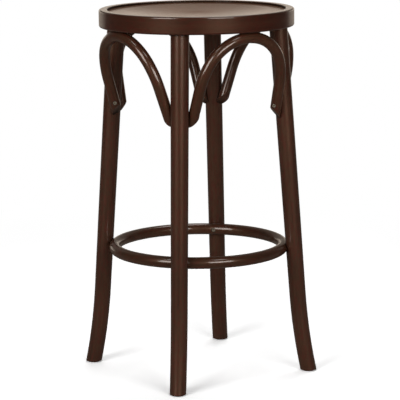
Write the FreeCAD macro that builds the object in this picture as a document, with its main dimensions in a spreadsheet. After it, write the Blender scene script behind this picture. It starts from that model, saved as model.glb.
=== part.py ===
import FreeCAD, Part
import math
import os

import Sketcher

# Bentwood counter stool: four splayed legs, a foot ring inside them, four bent arches under a round seat.
# The origin is on the floor under the middle of the seat. +Z is up, -Y is the front, millimetres throughout.

Vector = FreeCAD.Vector
Rotation = FreeCAD.Rotation
Placement = FreeCAD.Placement

# Driving dimensions: lengths in millimetres, angles in degrees
SIZES = {
    "seat_height": 660.0,
    "seat_diameter": 350.0,
    "rim_height": 31.0,
    "rim_rounding": 3.0,
    "rim_inner_rounding": 1.5,
    "rim_width": 43.0,
    "rim_top_width": 15.0,
    "panel_recess": 4.0,
    "panel_thickness": 8.0,
    "panel_dish": 3.0,
    "panel_dish_border": 2.0,
    "panel_rounding": 1.0,
    "panel_clearance": 0.3,
    "leg_inset": 27.0,
    "leg_lean": 4.0,
    "leg_top_diameter": 32.5,
    "leg_foot_diameter": 29.0,
    "flare_height": 145.0,
    "flare_bend_radius": 1050.0,
    "foot_rounding": 1.0,
    "tenon_diameter": 20.0,
    "tenon_cover": 4.0,
    "tenon_root": 6.0,
    "tenon_clearance": 0.15,
    "socket_depth_allowance": 1.0,
    "foot_ring_height": 226.5,
    "foot_ring_rod_diameter": 21.0,
    "foot_ring_let_in": 2.8,
    "notch_clearance": 0.15,
    "arch_rod_diameter": 19.8,
    "arch_inset": 11.5,
    "arch_lean": 18.1,
    "arch_flat_depth": 0.9,
    "arch_crown_angle": 129.0,
    "arch_shoulder_radius": 120.0,
    "arch_limb_splay": 3.3,
    "arch_joint_drop": 138.5,
    "arch_bevel_angle": 45.0,
    "arch_bevel_offset": 4.0,
    "arch_leg_clearance": 0.2,
    "glide_diameter": 22.0,
    "glide_thickness": 2.0,
    "glide_rounding": 0.5,
    "nail_diameter": 2.5,
    "nail_head_diameter": 7.0,
    "nail_head_thickness": 0.7,
    "nail_head_sink": 0.3,
    "nail_length": 18.0,
    "screw_diameter": 4.0,
    "screw_head_diameter": 8.0,
    "screw_tip_length": 4.0,
    "screw_sink": 0.8,
    "screw_recess_width": 1.1,
    "screw_recess_span": 4.4,
    "screw_recess_depth": 1.6,
    "fastener_clearance": 0.1,
    "fastener_tip_allowance": 1.0,
    "foot_ring_screw_length": 35.0,
    "arch_end_screw_bite": 11.0,
    "arch_end_screw_turn": 30.0,
    "arch_top_screw_length": 30.0,
    "tenon_screw_length": 22.0,
}

# Edges nearer than this to a wanted place are taken as being there
SAME_PLACE = 0.01

# Where the legs and the arches stand, in degrees about +Z from the front, towards +X
LEG_TURNS = {"front_right": 45.0, "back_right": 135.0, "back_left": 225.0, "front_left": 315.0}
ARCH_TURNS = {"front": 0.0, "right": 90.0, "back": 180.0, "left": 270.0}

# Sizes worked out from the driving dimensions
RIM_UNDERSIDE = "(seat_height - rim_height)"
RIM_OUTER = "(seat_diameter / 2)"
RIM_OPENING = f"({RIM_OUTER} - rim_top_width)"
RIM_BORE = f"({RIM_OUTER} - rim_width)"
PANEL_TOP = "(seat_height - panel_recess)"
PANEL_SEAT = f"({PANEL_TOP} - panel_thickness)"
TENON_LENGTH = f"({PANEL_SEAT} - tenon_cover - {RIM_UNDERSIDE})"
LEG_TOP_RADIUS = f"({RIM_OUTER} - leg_inset)"
LEG_START_HEIGHT = f"({RIM_UNDERSIDE} + {TENON_LENGTH})"
LEG_OVERRUN = "(leg_foot_diameter / 4)"
LEG_KNEE_RADIUS = f"({LEG_TOP_RADIUS} + ({RIM_UNDERSIDE} - flare_height) * tan(leg_lean))"
FLARE_CENTRE_RADIUS = f"({LEG_KNEE_RADIUS} + flare_bend_radius * cos(leg_lean))"
FLARE_CENTRE_HEIGHT = "(flare_height + flare_bend_radius * sin(leg_lean))"
FLARE_FALL = f"({FLARE_CENTRE_HEIGHT} - glide_thickness)"
FOOT_RADIUS = f"({FLARE_CENTRE_RADIUS} - sqrt(flare_bend_radius ^ 2 - {FLARE_FALL} ^ 2))"
LEG_TAPER = f"((leg_top_diameter - leg_foot_diameter) / ({LEG_START_HEIGHT} + {LEG_OVERRUN}))"


def leg_radius_at(height):
    """Give the distance of a leg's straight axis from the middle of the stool at a height."""
    return f"({LEG_TOP_RADIUS} + ({RIM_UNDERSIDE} - {height}) * tan(leg_lean))"


def leg_diameter_at(height):
    """Give the diameter of a tapered leg at a height."""
    return f"(leg_foot_diameter + {LEG_TAPER} * ({height} + {LEG_OVERRUN}))"


LEG_FACE_AT_RING = f"({leg_radius_at('foot_ring_height')} - {leg_diameter_at('foot_ring_height')} / 2)"
FOOT_RING_RADIUS = f"({LEG_FACE_AT_RING} + foot_ring_let_in - foot_ring_rod_diameter / 2)"
ARCH_TOP_RADIUS = f"({RIM_OUTER} - arch_inset)"
ARCH_TOP_HEIGHT = f"({RIM_UNDERSIDE} - arch_rod_diameter / 2 + arch_flat_depth)"
JOINT_HEIGHT = f"({RIM_UNDERSIDE} - arch_joint_drop)"
JOINT_FALL = f"(({ARCH_TOP_HEIGHT} - {JOINT_HEIGHT}) / cos(arch_lean))"
JOINT_RADIUS = f"({ARCH_TOP_RADIUS} - {JOINT_FALL} * sin(arch_lean))"
LEG_SIDE = f"({leg_radius_at(JOINT_HEIGHT)} / sqrt(2))"
LIMB_TO_LEG = f"({leg_diameter_at(JOINT_HEIGHT)} / 2 + arch_rod_diameter / 2 + arch_leg_clearance)"
LIMB_SIDE = f"({LEG_SIDE} - sqrt({LIMB_TO_LEG} ^ 2 - ({JOINT_RADIUS} - {LEG_SIDE}) ^ 2))"
HALF_CROWN = "(arch_crown_angle / 2)"
CROWN_SIDE = f"({LIMB_SIDE} - arch_shoulder_radius * (cos(arch_limb_splay) - sin({HALF_CROWN})))"
CROWN_FALL = f"({JOINT_FALL} - arch_shoulder_radius * (cos({HALF_CROWN}) - sin(arch_limb_splay)))"
CROWN_RADIUS = (
    f"(({CROWN_SIDE} - {CROWN_FALL} * tan(arch_limb_splay))"
    f" / (sin({HALF_CROWN}) - (1 - cos({HALF_CROWN})) * tan(arch_limb_splay)))"
)
BEVEL_FALL = "(arch_rod_diameter * tan(arch_bevel_angle))"
BEVEL_TOP = f"(0 - {JOINT_FALL} - arch_bevel_offset)"
LIMB_END_FALL = f"({JOINT_FALL} + arch_bevel_offset + {BEVEL_FALL} + arch_rod_diameter)"
LIMB_END_SIDE = f"({LIMB_SIDE} + ({LIMB_END_FALL} - {JOINT_FALL}) * tan(arch_limb_splay))"


def new_document():
    """Open the document and fill its spreadsheet with the driving dimensions."""
    document = FreeCAD.newDocument("counter_stool")
    sheet = document.addObject("Spreadsheet::Sheet", "Sizes")
    for row, (name, size) in enumerate(SIZES.items(), start=1):
        sheet.set(f"A{row}", name)
        sheet.set(f"B{row}", str(size))
        sheet.setAlias(f"B{row}", name)
    document.recompute()
    return document, sheet


doc, sizes = new_document()


def linked(expression):
    """Write the names of sizes in an expression as cells of the spreadsheet."""
    words = []
    word = ""
    for letter in expression + " ":
        if letter.isalnum() or letter == "_":
            word += letter
            continue
        words.append(f"Sizes.{word}" if word in SIZES else word)
        words.append(letter)
        word = ""
    return "".join(words).strip()


def value(expression):
    """Work an expression out as a plain number."""
    result = sizes.evalExpression(linked(expression))
    return float(getattr(result, "Value", result))


def bind(thing, path, expression):
    """Tie one property of an object to an expression over the sizes."""
    thing.setExpression(path, linked(expression))


def new_body(name):
    """Start a body that carries its own label."""
    body = doc.addObject("PartDesign::Body", name)
    body.Label = name
    return body


def origin_plane(body, role):
    """Find one of a body's own origin planes."""
    return next(plane for plane in body.Origin.OriginFeatures if plane.Role == role)


def new_sketch(body, name, role):
    """Make a sketch on one of a body's origin planes."""
    sketch = body.newObject("Sketcher::SketchObject", name)
    sketch.AttachmentSupport = [(origin_plane(body, role), "")]
    sketch.MapMode = "FlatFace"
    return sketch


def constrain(sketch, name, constraint, expression):
    """Add a named constraint whose size follows an expression."""
    index = sketch.addConstraint(constraint)
    sketch.renameConstraint(index, name)
    bind(sketch, f"Constraints.{name}", expression)


def place_point(sketch, name, geometry, end, across, up):
    """Fix a point of a sketch at two expressions measured from the sketch's origin."""
    for axis, expression in (("X", across), ("Y", up)):
        distance = Sketcher.Constraint("Distance" + axis, -1, 1, geometry, end, value(expression))
        constrain(sketch, f"{name}_{axis.lower()}", distance, expression)


def draw_outline(sketch, corners):
    """Draw a closed outline of straight sides through (across, up) expressions."""
    points = [Vector(value(across), value(up), 0) for across, up in corners]
    count = len(points)
    for index, start in enumerate(points):
        sketch.addGeometry(Part.LineSegment(start, points[(index + 1) % count]), False)
    for index, (across, up) in enumerate(corners):
        previous = (index - 1) % count
        sketch.addConstraint(Sketcher.Constraint("Coincident", previous, 2, index, 1))
        place_point(sketch, f"corner_{index + 1}", index, 1, across, up)


def draw_circle(sketch, name, across, up, diameter):
    """Draw one circle at (across, up) with its diameter bound to an expression."""
    centre = Vector(value(across), value(up), 0)
    index = sketch.addGeometry(Part.Circle(centre, Vector(0, 0, 1), value(diameter) / 2), False)
    place_point(sketch, f"{name}_centre", index, 3, across, up)
    round_size = Sketcher.Constraint("Diameter", index, value(diameter))
    constrain(sketch, f"{name}_diameter", round_size, diameter)


def revolve(body, name, sketch):
    """Turn a closed outline once around the body's upright axis."""
    feature = body.newObject("PartDesign::Revolution", name)
    feature.Profile = sketch
    feature.ReferenceAxis = (sketch, ["V_Axis"])
    feature.Angle = 360
    doc.recompute()
    return feature


def groove(body, name, sketch):
    """Cut a closed outline away once around the body's upright axis."""
    feature = body.newObject("PartDesign::Groove", name)
    feature.Profile = sketch
    feature.ReferenceAxis = (sketch, ["V_Axis"])
    feature.Angle = 360
    doc.recompute()
    return feature


def trim(body, name, corners, role="XZ_Plane"):
    """Cut away everything that lies over an outline, on both sides of its plane."""
    sketch = new_sketch(body, name + "_outline", role)
    draw_outline(sketch, corners)
    feature = body.newObject("PartDesign::Pocket", name)
    feature.Profile = sketch
    feature.SideType = "Symmetric"
    feature.Type = "ThroughAll"
    doc.recompute()
    return feature


def edges_at_height(feature, height):
    """Name the edges of a feature that lie wholly at one height."""
    names = []
    for number, edge in enumerate(feature.Shape.Edges, start=1):
        box = edge.BoundBox
        if abs(box.ZMin - height) < SAME_PLACE and abs(box.ZMax - height) < SAME_PLACE:
            names.append(f"Edge{number}")
    return names


def ring_edges(feature, spots):
    """Name the round edges about the upright axis that pass the given (radius, height) spots."""
    names = []
    for radius, height in spots:
        for number, edge in enumerate(feature.Shape.Edges, start=1):
            if edge.Degenerated or not isinstance(edge.Curve, Part.Circle):
                continue
            centre = edge.Curve.Center
            same_height = abs(centre.z - height) < SAME_PLACE
            if same_height and abs(edge.Curve.Radius - radius) < SAME_PLACE:
                names.append(f"Edge{number}")
    return names


def fillet(body, name, feature, edges, radius):
    """Round named edges of a feature."""
    rounding = body.newObject("PartDesign::Fillet", name)
    rounding.Base = (feature, edges)
    bind(rounding, "Radius", radius)
    doc.recompute()
    return rounding


def turned(turn):
    """Give the rotation about +Z that brings +X to a compass turn from the front."""
    return Rotation(Vector(0, 0, 1), turn - 90.0)


def copy_at(source, name, placement):
    """Place a linked copy of an object."""
    copy = doc.addObject("App::Link", name)
    copy.LinkedObject = source
    copy.LinkPlacement = placement
    return copy


def group(name, members):
    """Gather separate solids under one name."""
    gathered = doc.addObject("Part::Compound", name)
    gathered.Label = name
    gathered.Links = members
    doc.recompute()
    return gathered


def cut_from(name, base, tool):
    """Cut one object away from another and give what is left its own name."""
    result = doc.addObject("Part::Cut", name)
    result.Label = name
    result.Base = base
    result.Tool = tool
    doc.recompute()
    return result


def make_seat_rim():
    """The bent rim: an upright band with a rebate for the panel and four sockets for the legs."""
    body = new_body("seat_rim_blank")
    outline = new_sketch(body, "rim_section", "XZ_Plane")
    draw_outline(outline, [
        (RIM_BORE, RIM_UNDERSIDE),
        (RIM_OUTER, RIM_UNDERSIDE),
        (RIM_OUTER, "seat_height"),
        (RIM_OPENING, "seat_height"),
        (RIM_OPENING, PANEL_SEAT),
        (RIM_BORE, PANEL_SEAT),
    ])
    band = revolve(body, "rim_band", outline)
    outside_edges = ring_edges(band, [
        (value(RIM_OUTER), value("seat_height")),
        (value(RIM_OUTER), value(RIM_UNDERSIDE)),
    ])
    rounded = fillet(body, "outer_rounding", band, outside_edges, "rim_rounding")
    inside_edges = ring_edges(rounded, [
        (value(RIM_OPENING), value("seat_height")),
        (value(RIM_BORE), value(RIM_UNDERSIDE)),
    ])
    fillet(body, "inner_rounding", rounded, inside_edges, "rim_inner_rounding")
    return body


def draw_dish(sketch, edge, level):
    """Draw one hollow arc from the middle of the dish, panel_dish below a level, out to its edge."""
    reach = value(edge)
    depth = value("panel_dish")
    radius = (reach ** 2 + depth ** 2) / (2 * depth)
    centre = Vector(0, value(level) - depth + radius, 0)
    lowest = 1.5 * math.pi
    rim = lowest + math.asin(reach / radius)
    circle = Part.Circle(centre, Vector(0, 0, 1), radius)
    arc = sketch.addGeometry(Part.ArcOfCircle(circle, lowest, rim), False)
    sketch.addConstraint(Sketcher.Constraint("PointOnObject", arc, 3, -2))
    return arc


def make_seat_panel():
    """The seat panel: a thin moulded board, flat at its border and dished in the middle."""
    body = new_body("seat_panel")
    sketch = new_sketch(body, "panel_section", "XZ_Plane")
    edge = f"({RIM_OPENING} - panel_clearance)"
    dish_edge = f"({RIM_BORE} - panel_dish_border)"
    border = [
        (dish_edge, PANEL_SEAT),
        (edge, PANEL_SEAT),
        (edge, PANEL_TOP),
        (dish_edge, PANEL_TOP),
    ]
    middle = [("0", f"({PANEL_TOP} - panel_dish)"), ("0", f"({PANEL_SEAT} - panel_dish)")]
    corners = [Vector(value(across), value(up), 0) for across, up in border + middle]
    under, side, top, axis = (
        sketch.addGeometry(Part.LineSegment(corners[start], corners[start + 1]), False)
        for start in (0, 1, 2, 4)
    )
    for line, (across, up) in zip((under, side, top), border):
        place_point(sketch, f"border_{line + 1}", line, 1, across, up)
    place_point(sketch, "border_end", top, 2, *border[3])
    place_point(sketch, "middle_top", axis, 1, *middle[0])
    place_point(sketch, "middle_under", axis, 2, *middle[1])
    upper = draw_dish(sketch, dish_edge, PANEL_TOP)
    lower = draw_dish(sketch, dish_edge, PANEL_SEAT)
    for first, first_end, second, second_end in (
        (under, 2, side, 1),
        (side, 2, top, 1),
        (top, 2, upper, 2),
        (upper, 1, axis, 1),
        (axis, 2, lower, 1),
        (lower, 2, under, 1),
    ):
        joined = Sketcher.Constraint("Coincident", first, first_end, second, second_end)
        sketch.addConstraint(joined)
    board = revolve(body, "panel_board", sketch)
    upper_edge = ring_edges(board, [(value(edge), value(PANEL_TOP))])
    fillet(body, "panel_rounding", board, upper_edge, "panel_rounding")
    return body


def make_leg_blank(name, growth):
    """The round tapered rod of a leg, leaning along +X and flared at the foot, grown all round."""
    body = new_body(name)
    path = new_sketch(body, name + "_path", "XZ_Plane")
    start_x = leg_radius_at(LEG_START_HEIGHT)
    start = Vector(value(start_x), value(LEG_START_HEIGHT), 0)
    knee = Vector(value(LEG_KNEE_RADIUS), value("flare_height"), 0)
    centre = Vector(value(FLARE_CENTRE_RADIUS), value(FLARE_CENTRE_HEIGHT), 0)
    bend = value("flare_bend_radius")
    knee_angle = math.pi + math.asin((centre.y - knee.y) / bend)
    end_height = f"(0 - {LEG_OVERRUN})"
    end_angle = math.pi + math.asin((centre.y - value(end_height)) / bend)
    path.addGeometry(Part.LineSegment(start, knee), False)
    flare = Part.ArcOfCircle(Part.Circle(centre, Vector(0, 0, 1), bend), knee_angle, end_angle)
    path.addGeometry(flare, False)
    place_point(path, "start", 0, 1, start_x, LEG_START_HEIGHT)
    place_point(path, "knee", 0, 2, LEG_KNEE_RADIUS, "flare_height")
    path.addConstraint(Sketcher.Constraint("Tangent", 0, 2, 1, 1))
    radius = Sketcher.Constraint("Radius", 1, bend)
    constrain(path, "flare_radius", radius, "flare_bend_radius")
    low_end = Sketcher.Constraint("DistanceY", -1, 1, 1, 2, value(end_height))
    constrain(path, "low_end", low_end, end_height)
    doc.recompute()
    sections = []
    for label, edge, parameter, diameter in (
        ("top_section", "Edge1", 0.0, "leg_top_diameter"),
        ("foot_section", "Edge2", 1.0, "leg_foot_diameter"),
    ):
        section = body.newObject("Sketcher::SketchObject", f"{name}_{label}")
        section.AttachmentSupport = [(path, edge)]
        section.MapMode = "NormalToEdge"
        section.MapPathParameter = parameter
        draw_circle(section, "rod", "0", "0", f"({diameter} + 2 * {growth})")
        sections.append(section)
    doc.recompute()
    rod = body.newObject("PartDesign::AdditivePipe", name + "_rod")
    rod.Profile = sections[0]
    rod.Spine = (path, ["Edge1", "Edge2"])
    rod.Transformation = "Multisection"
    rod.Sections = [(sections[1], [""])]
    doc.recompute()
    return body, path


def make_leg(name):
    """A leg: its rod cut level at the rim and the floor, with a tenon and a notch for the foot ring."""
    body, path = make_leg_blank(name, "0")
    far = f"({FOOT_RADIUS} + 2 * leg_top_diameter)"
    near = f"({LEG_TOP_RADIUS} - 2 * leg_top_diameter)"
    over = f"({LEG_START_HEIGHT} + leg_top_diameter)"
    under = "(0 - leg_top_diameter)"
    trim(body, name + "_shoulder_cut", [
        (near, RIM_UNDERSIDE), (far, RIM_UNDERSIDE), (far, over), (near, over),
    ])
    circle = body.newObject("Sketcher::SketchObject", name + "_tenon_section")
    circle.AttachmentSupport = [(path, "Edge1")]
    circle.MapMode = "NormalToEdge"
    circle.MapPathParameter = 0.0
    draw_circle(circle, "tenon", "0", "0", "tenon_diameter")
    doc.recompute()
    tenon = body.newObject("PartDesign::Pad", name + "_tenon")
    tenon.Profile = circle
    tenon.Reversed = True
    bind(tenon, "Length", f"{TENON_LENGTH} / cos(leg_lean) + tenon_root")
    doc.recompute()
    foot = trim(body, name + "_sole_cut", [
        (near, under), (far, under), (far, "glide_thickness"), (near, "glide_thickness"),
    ])
    sole_edges = edges_at_height(foot, value("glide_thickness"))
    fillet(body, name + "_sole_rounding", foot, sole_edges, "foot_rounding")
    notch = new_sketch(body, name + "_notch_section", "XZ_Plane")
    notch_diameter = "(foot_ring_rod_diameter + 2 * notch_clearance)"
    draw_circle(notch, "notch", FOOT_RING_RADIUS, "foot_ring_height", notch_diameter)
    groove(body, name + "_notch", notch)
    return body


def make_foot_ring():
    """The foot ring: one round rod bent into a full circle."""
    body = new_body("foot_ring_blank")
    section = new_sketch(body, "ring_section", "XZ_Plane")
    draw_circle(section, "rod", FOOT_RING_RADIUS, "foot_ring_height", "foot_ring_rod_diameter")
    revolve(body, "ring_rod", section)
    return body


def draw_arch_path(sketch):
    """Draw a crown, two wider shoulders and two straight limbs, tangent and alike on both sides."""
    crown = value(CROWN_RADIUS)
    half = math.radians(value(HALF_CROWN))
    splay = math.radians(value("arch_limb_splay"))
    shoulder = value("arch_shoulder_radius")
    axis = Vector(0, 0, 1)
    centre = Vector(0, -crown, 0)
    up = math.pi / 2
    crown_arc = Part.ArcOfCircle(Part.Circle(centre, axis, crown), up - half, up + half)
    sketch.addGeometry(crown_arc, False)
    for side, low_angle, high_angle in ((1, splay, up - half), (-1, math.pi - splay, up + half)):
        hinge = centre + Vector(side * math.sin(half), math.cos(half), 0) * (crown - shoulder)
        first, last = sorted((low_angle, high_angle))
        arc = Part.ArcOfCircle(Part.Circle(hinge, axis, shoulder), first, last)
        start = hinge + Vector(math.cos(low_angle), math.sin(low_angle), 0) * shoulder
        end = Vector(side * value(LIMB_END_SIDE), -value(LIMB_END_FALL), 0)
        sketch.addGeometry(arc, False)
        sketch.addGeometry(Part.LineSegment(start, end), False)
    place_point(sketch, "crown_centre", 0, 3, "0", f"0 - {CROWN_RADIUS}")
    crown_radius = Sketcher.Constraint("Radius", 0, crown)
    constrain(sketch, "crown_radius", crown_radius, CROWN_RADIUS)
    crown_right = Sketcher.Constraint("DistanceX", -1, 1, 0, 1, crown * math.sin(half))
    constrain(sketch, "crown_right", crown_right, f"{CROWN_RADIUS} * sin({HALF_CROWN})")
    crown_left = Sketcher.Constraint("DistanceX", -1, 1, 0, 2, -crown * math.sin(half))
    constrain(sketch, "crown_left", crown_left, f"0 - {CROWN_RADIUS} * sin({HALF_CROWN})")
    for name, arc, limb, crown_end, arc_top, arc_low, sign in (
        ("right", 1, 2, 1, 2, 1, ""),
        ("left", 3, 4, 2, 1, 2, "0 - "),
    ):
        sketch.addConstraint(Sketcher.Constraint("Tangent", 0, crown_end, arc, arc_top))
        sketch.addConstraint(Sketcher.Constraint("Tangent", arc, arc_low, limb, 1))
        radius = Sketcher.Constraint("Radius", arc, shoulder)
        constrain(sketch, name + "_shoulder", radius, "arch_shoulder_radius")
        place_point(sketch, name + "_limb", limb, 2, sign + LIMB_END_SIDE, f"0 - {LIMB_END_FALL}")


def make_arch_blank(name, turn):
    """A bent rod standing in its body's XZ plane, flat where it meets the rim, bevelled at its ends."""
    body = new_body(name + "_blank")
    path = new_sketch(body, name + "_path", "XZ_Plane")
    draw_arch_path(path)
    section = new_sketch(body, name + "_section", "YZ_Plane")
    draw_circle(section, "rod", "0", "0", "arch_rod_diameter")
    doc.recompute()
    rod = body.newObject("PartDesign::AdditivePipe", name + "_rod")
    rod.Profile = section
    rod.Spine = (path, [f"Edge{number}" for number in range(1, 6)])
    doc.recompute()
    half = "(arch_rod_diameter / 2)"
    flat = f"({half} - arch_flat_depth)"
    trim(body, name + "_rim_flat", [
        (f"{rise} * sin(arch_lean) + {along} * cos(arch_lean)",
         f"{rise} * cos(arch_lean) - {along} * sin(arch_lean)")
        for rise, along in (
            (flat, "(0 - arch_rod_diameter)"),
            (flat, "arch_rod_diameter"),
            ("arch_rod_diameter", "arch_rod_diameter"),
            ("arch_rod_diameter", "(0 - arch_rod_diameter)"),
        )
    ], "YZ_Plane")
    inner = f"({LIMB_SIDE} - arch_rod_diameter)"
    outer = f"({LIMB_END_SIDE} + arch_rod_diameter)"
    slope = "tan(arch_bevel_angle)"
    inner_top = f"{BEVEL_TOP} + {half} * {slope}"
    outer_top = f"{BEVEL_TOP} - ({outer} - {LIMB_SIDE} + {half}) * {slope}"
    low = f"({outer_top} - arch_rod_diameter)"
    for side, sign in (("right", ""), ("left", "0 - ")):
        trim(body, f"{name}_{side}_bevel", [
            (sign + inner, inner_top),
            (sign + outer, outer_top),
            (sign + outer, low),
            (sign + inner, low),
        ])
    outwards = Rotation(Vector(0, 0, 1), turn)
    place = outwards.multVec(Vector(0, -value(ARCH_TOP_RADIUS), value(ARCH_TOP_HEIGHT)))
    leaning = Rotation(Vector(1, 0, 0), value("arch_lean"))
    body.Placement = Placement(place, outwards * leaning)
    doc.recompute()
    return body


def make_screw(name, length):
    """A countersunk screw with a cross recess: head face at the origin, point down the -Z axis."""
    body = new_body(name)
    section = new_sketch(body, name + "_section", "XZ_Plane")
    shank = "(screw_diameter / 2)"
    head = "(screw_head_diameter / 2)"
    draw_outline(section, [
        ("0", "0"),
        (head, "0"),
        (shank, f"{shank} - {head}"),
        (shank, f"screw_tip_length - {length}"),
        ("0", f"0 - {length}"),
    ])
    revolve(body, name + "_turning", section)
    for direction, across, along in (
        ("first", "screw_recess_width", "screw_recess_span"),
        ("second", "screw_recess_span", "screw_recess_width"),
    ):
        slot = new_sketch(body, f"{name}_{direction}_slot", "XY_Plane")
        draw_outline(slot, [
            (f"{across} / 2", f"{along} / 2"),
            (f"0 - {across} / 2", f"{along} / 2"),
            (f"0 - {across} / 2", f"0 - {along} / 2"),
            (f"{across} / 2", f"0 - {along} / 2"),
        ])
        recess = body.newObject("PartDesign::Pocket", f"{name}_{direction}_recess")
        recess.Profile = slot
        bind(recess, "Length", "screw_recess_depth")
        doc.recompute()
    return body


def make_screw_hole(name, length):
    """The space that a screw needs: its own form with clearance, open above the head."""
    body = new_body(name)
    section = new_sketch(body, name + "_section", "XZ_Plane")
    shank = "(screw_diameter / 2 + fastener_clearance)"
    head = "(screw_head_diameter / 2 + fastener_clearance)"
    draw_outline(section, [
        ("0", "3 * screw_sink"),
        (head, "3 * screw_sink"),
        (head, "0"),
        (shank, f"{shank} - {head}"),
        (shank, f"0 - {length}"),
        ("0", f"0 - {length} - fastener_tip_allowance"),
    ])
    revolve(body, name + "_turning", section)
    return body


def make_nail():
    """A glide nail: its head just above the floor, its point up the +Z axis."""
    body = new_body("glide_nail")
    section = new_sketch(body, "nail_section", "XZ_Plane")
    shank = "nail_diameter / 2"
    head = "nail_head_diameter / 2"
    head_top = "(nail_head_sink + nail_head_thickness)"
    draw_outline(section, [
        ("0", "nail_head_sink"),
        (head, "nail_head_sink"),
        (head, head_top),
        (shank, head_top),
        (shank, "nail_length - nail_diameter"),
        ("0", "nail_length"),
    ])
    revolve(body, "nail_turning", section)
    return body


def make_nail_hole():
    """The bore that a glide nail needs in the sole of a leg."""
    body = new_body("nail_hole")
    section = new_sketch(body, "nail_hole_section", "XZ_Plane")
    wall = "(nail_diameter / 2 + fastener_clearance)"
    top = "(nail_length + fastener_tip_allowance)"
    draw_outline(section, [("0", "0"), (wall, "0"), (wall, top), ("0", top)])
    revolve(body, "nail_hole_turning", section)
    return body


def make_glide(name):
    """A floor glide: a low disc with a stepped bore that hides the head of its nail."""
    body = new_body(name)
    section = new_sketch(body, name + "_section", "XZ_Plane")
    rim = "glide_diameter / 2"
    bore = "(nail_diameter / 2 + fastener_clearance)"
    well = "(nail_head_diameter / 2 + fastener_clearance)"
    step = "(nail_head_sink + nail_head_thickness)"
    draw_outline(section, [
        (bore, "glide_thickness"),
        (rim, "glide_thickness"),
        (rim, "0"),
        (well, "0"),
        (well, step),
        (bore, step),
    ])
    disc = revolve(body, name + "_disc", section)
    lower_edge = ring_edges(disc, [(value(rim), 0.0)])
    fillet(body, name + "_rounding", disc, lower_edge, "glide_rounding")
    return body


def make_sockets():
    """The four round sockets that the leg tenons need in the underside of the rim."""
    sockets = []
    for corner, turn in LEG_TURNS.items():
        socket = doc.addObject("Part::Cylinder", f"socket_{corner}")
        bind(socket, "Radius", "tenon_diameter / 2 + tenon_clearance")
        depth = f"({TENON_LENGTH} + socket_depth_allowance) / cos(leg_lean)"
        bind(socket, "Height", f"tenon_root + {depth}")
        lean = Rotation(Vector(0, 1, 0), -value("leg_lean"))
        root = lean.multVec(Vector(0, 0, -value("tenon_root")))
        foot = Vector(value(LEG_TOP_RADIUS), 0, value(RIM_UNDERSIDE)) + root
        socket.Placement = Placement(Vector(0, 0, 0), turned(turn)) * Placement(foot, lean)
        sockets.append(socket)
    return group("tenon_sockets", sockets)


def pointing(direction):
    """Give the rotation that turns a screw's head, its +Z axis, to face a direction."""
    return Rotation(Vector(0, 0, 1), direction)


def foot_ring_screw_places():
    """Screws through the foot ring into each leg, heads on the inside of the ring."""
    inside = value(FOOT_RING_RADIUS) - value("foot_ring_rod_diameter") / 2 + value("screw_sink")
    head = Placement(Vector(inside, 0, value("foot_ring_height")), pointing(Vector(-1, 0, 0)))
    return [Placement(Vector(0, 0, 0), turned(turn)) * head for turn in LEG_TURNS.values()]


def tenon_screw_places():
    """Screws through the bore of the rim into each tenon, hidden under the panel."""
    inside = value(RIM_BORE) + value("screw_sink")
    height = value(RIM_UNDERSIDE) + value(TENON_LENGTH) / 2
    head = Placement(Vector(inside, 0, height), pointing(Vector(-1, 0, 0)))
    return [Placement(Vector(0, 0, 0), turned(turn)) * head for turn in LEG_TURNS.values()]


def arch_top_screw_places():
    """Screws up through the crown of each arch into the rim."""
    rise = value(ARCH_TOP_HEIGHT) - value("arch_rod_diameter") / 2 + value("screw_sink")
    head = Placement(Vector(0, -value(ARCH_TOP_RADIUS), rise), pointing(Vector(0, 0, -1)))
    outwards = [Rotation(Vector(0, 0, 1), turn) for turn in ARCH_TURNS.values()]
    return [Placement(Vector(0, 0, 0), outward) * head for outward in outwards]


def arch_end_screw_places():
    """Screws from the open side of each limb into its leg, two to an arch."""
    bend = math.radians(value("arch_end_screw_turn"))
    reach = value("arch_rod_diameter") / 2 - value("screw_sink")
    places = []
    for turn in ARCH_TURNS.values():
        outward = Rotation(Vector(0, 0, 1), turn)
        for side in (1, -1):
            facing = Vector(-side * math.cos(bend), -math.sin(bend), 0)
            limb = Vector(side * value(LIMB_SIDE), -value(JOINT_RADIUS), value(JOINT_HEIGHT))
            head = Placement(limb + facing * reach, pointing(facing))
            places.append(Placement(Vector(0, 0, 0), outward) * head)
    return places


def copies(source, stem, places):
    """Place numbered copies of an object."""
    return [
        copy_at(source, f"{stem}_{number}", place) for number, place in enumerate(places, start=1)
    ]


def make_fasteners():
    """Make every screw and nail, grouped by kind, and the holes that they all need."""
    foot = Vector(value(FOOT_RADIUS), 0, 0)
    nail_places = [
        Placement(Vector(0, 0, 0), turned(turn)) * Placement(foot, Rotation())
        for turn in LEG_TURNS.values()
    ]
    end_length = "(arch_rod_diameter - screw_sink + arch_end_screw_bite)"
    kinds = (
        ("foot_ring_screws", "foot_ring_screw_length", foot_ring_screw_places()),
        ("tenon_screws", "tenon_screw_length", tenon_screw_places()),
        ("arch_top_screws", "arch_top_screw_length", arch_top_screw_places()),
        ("arch_end_screws", end_length, arch_end_screw_places()),
    )
    groups = []
    holes = []
    for name, length, places in kinds:
        screw = make_screw(name + "_one", length)
        groups.append(group(name, copies(screw, name, places)))
        hole = make_screw_hole(name + "_hole", length)
        holes.extend(copies(hole, name + "_hole", places))
    groups.append(group("glide_nails", copies(make_nail(), "glide_nail", nail_places)))
    holes.extend(copies(make_nail_hole(), "nail_hole", nail_places))
    return groups, group("fastener_holes", holes)


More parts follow.
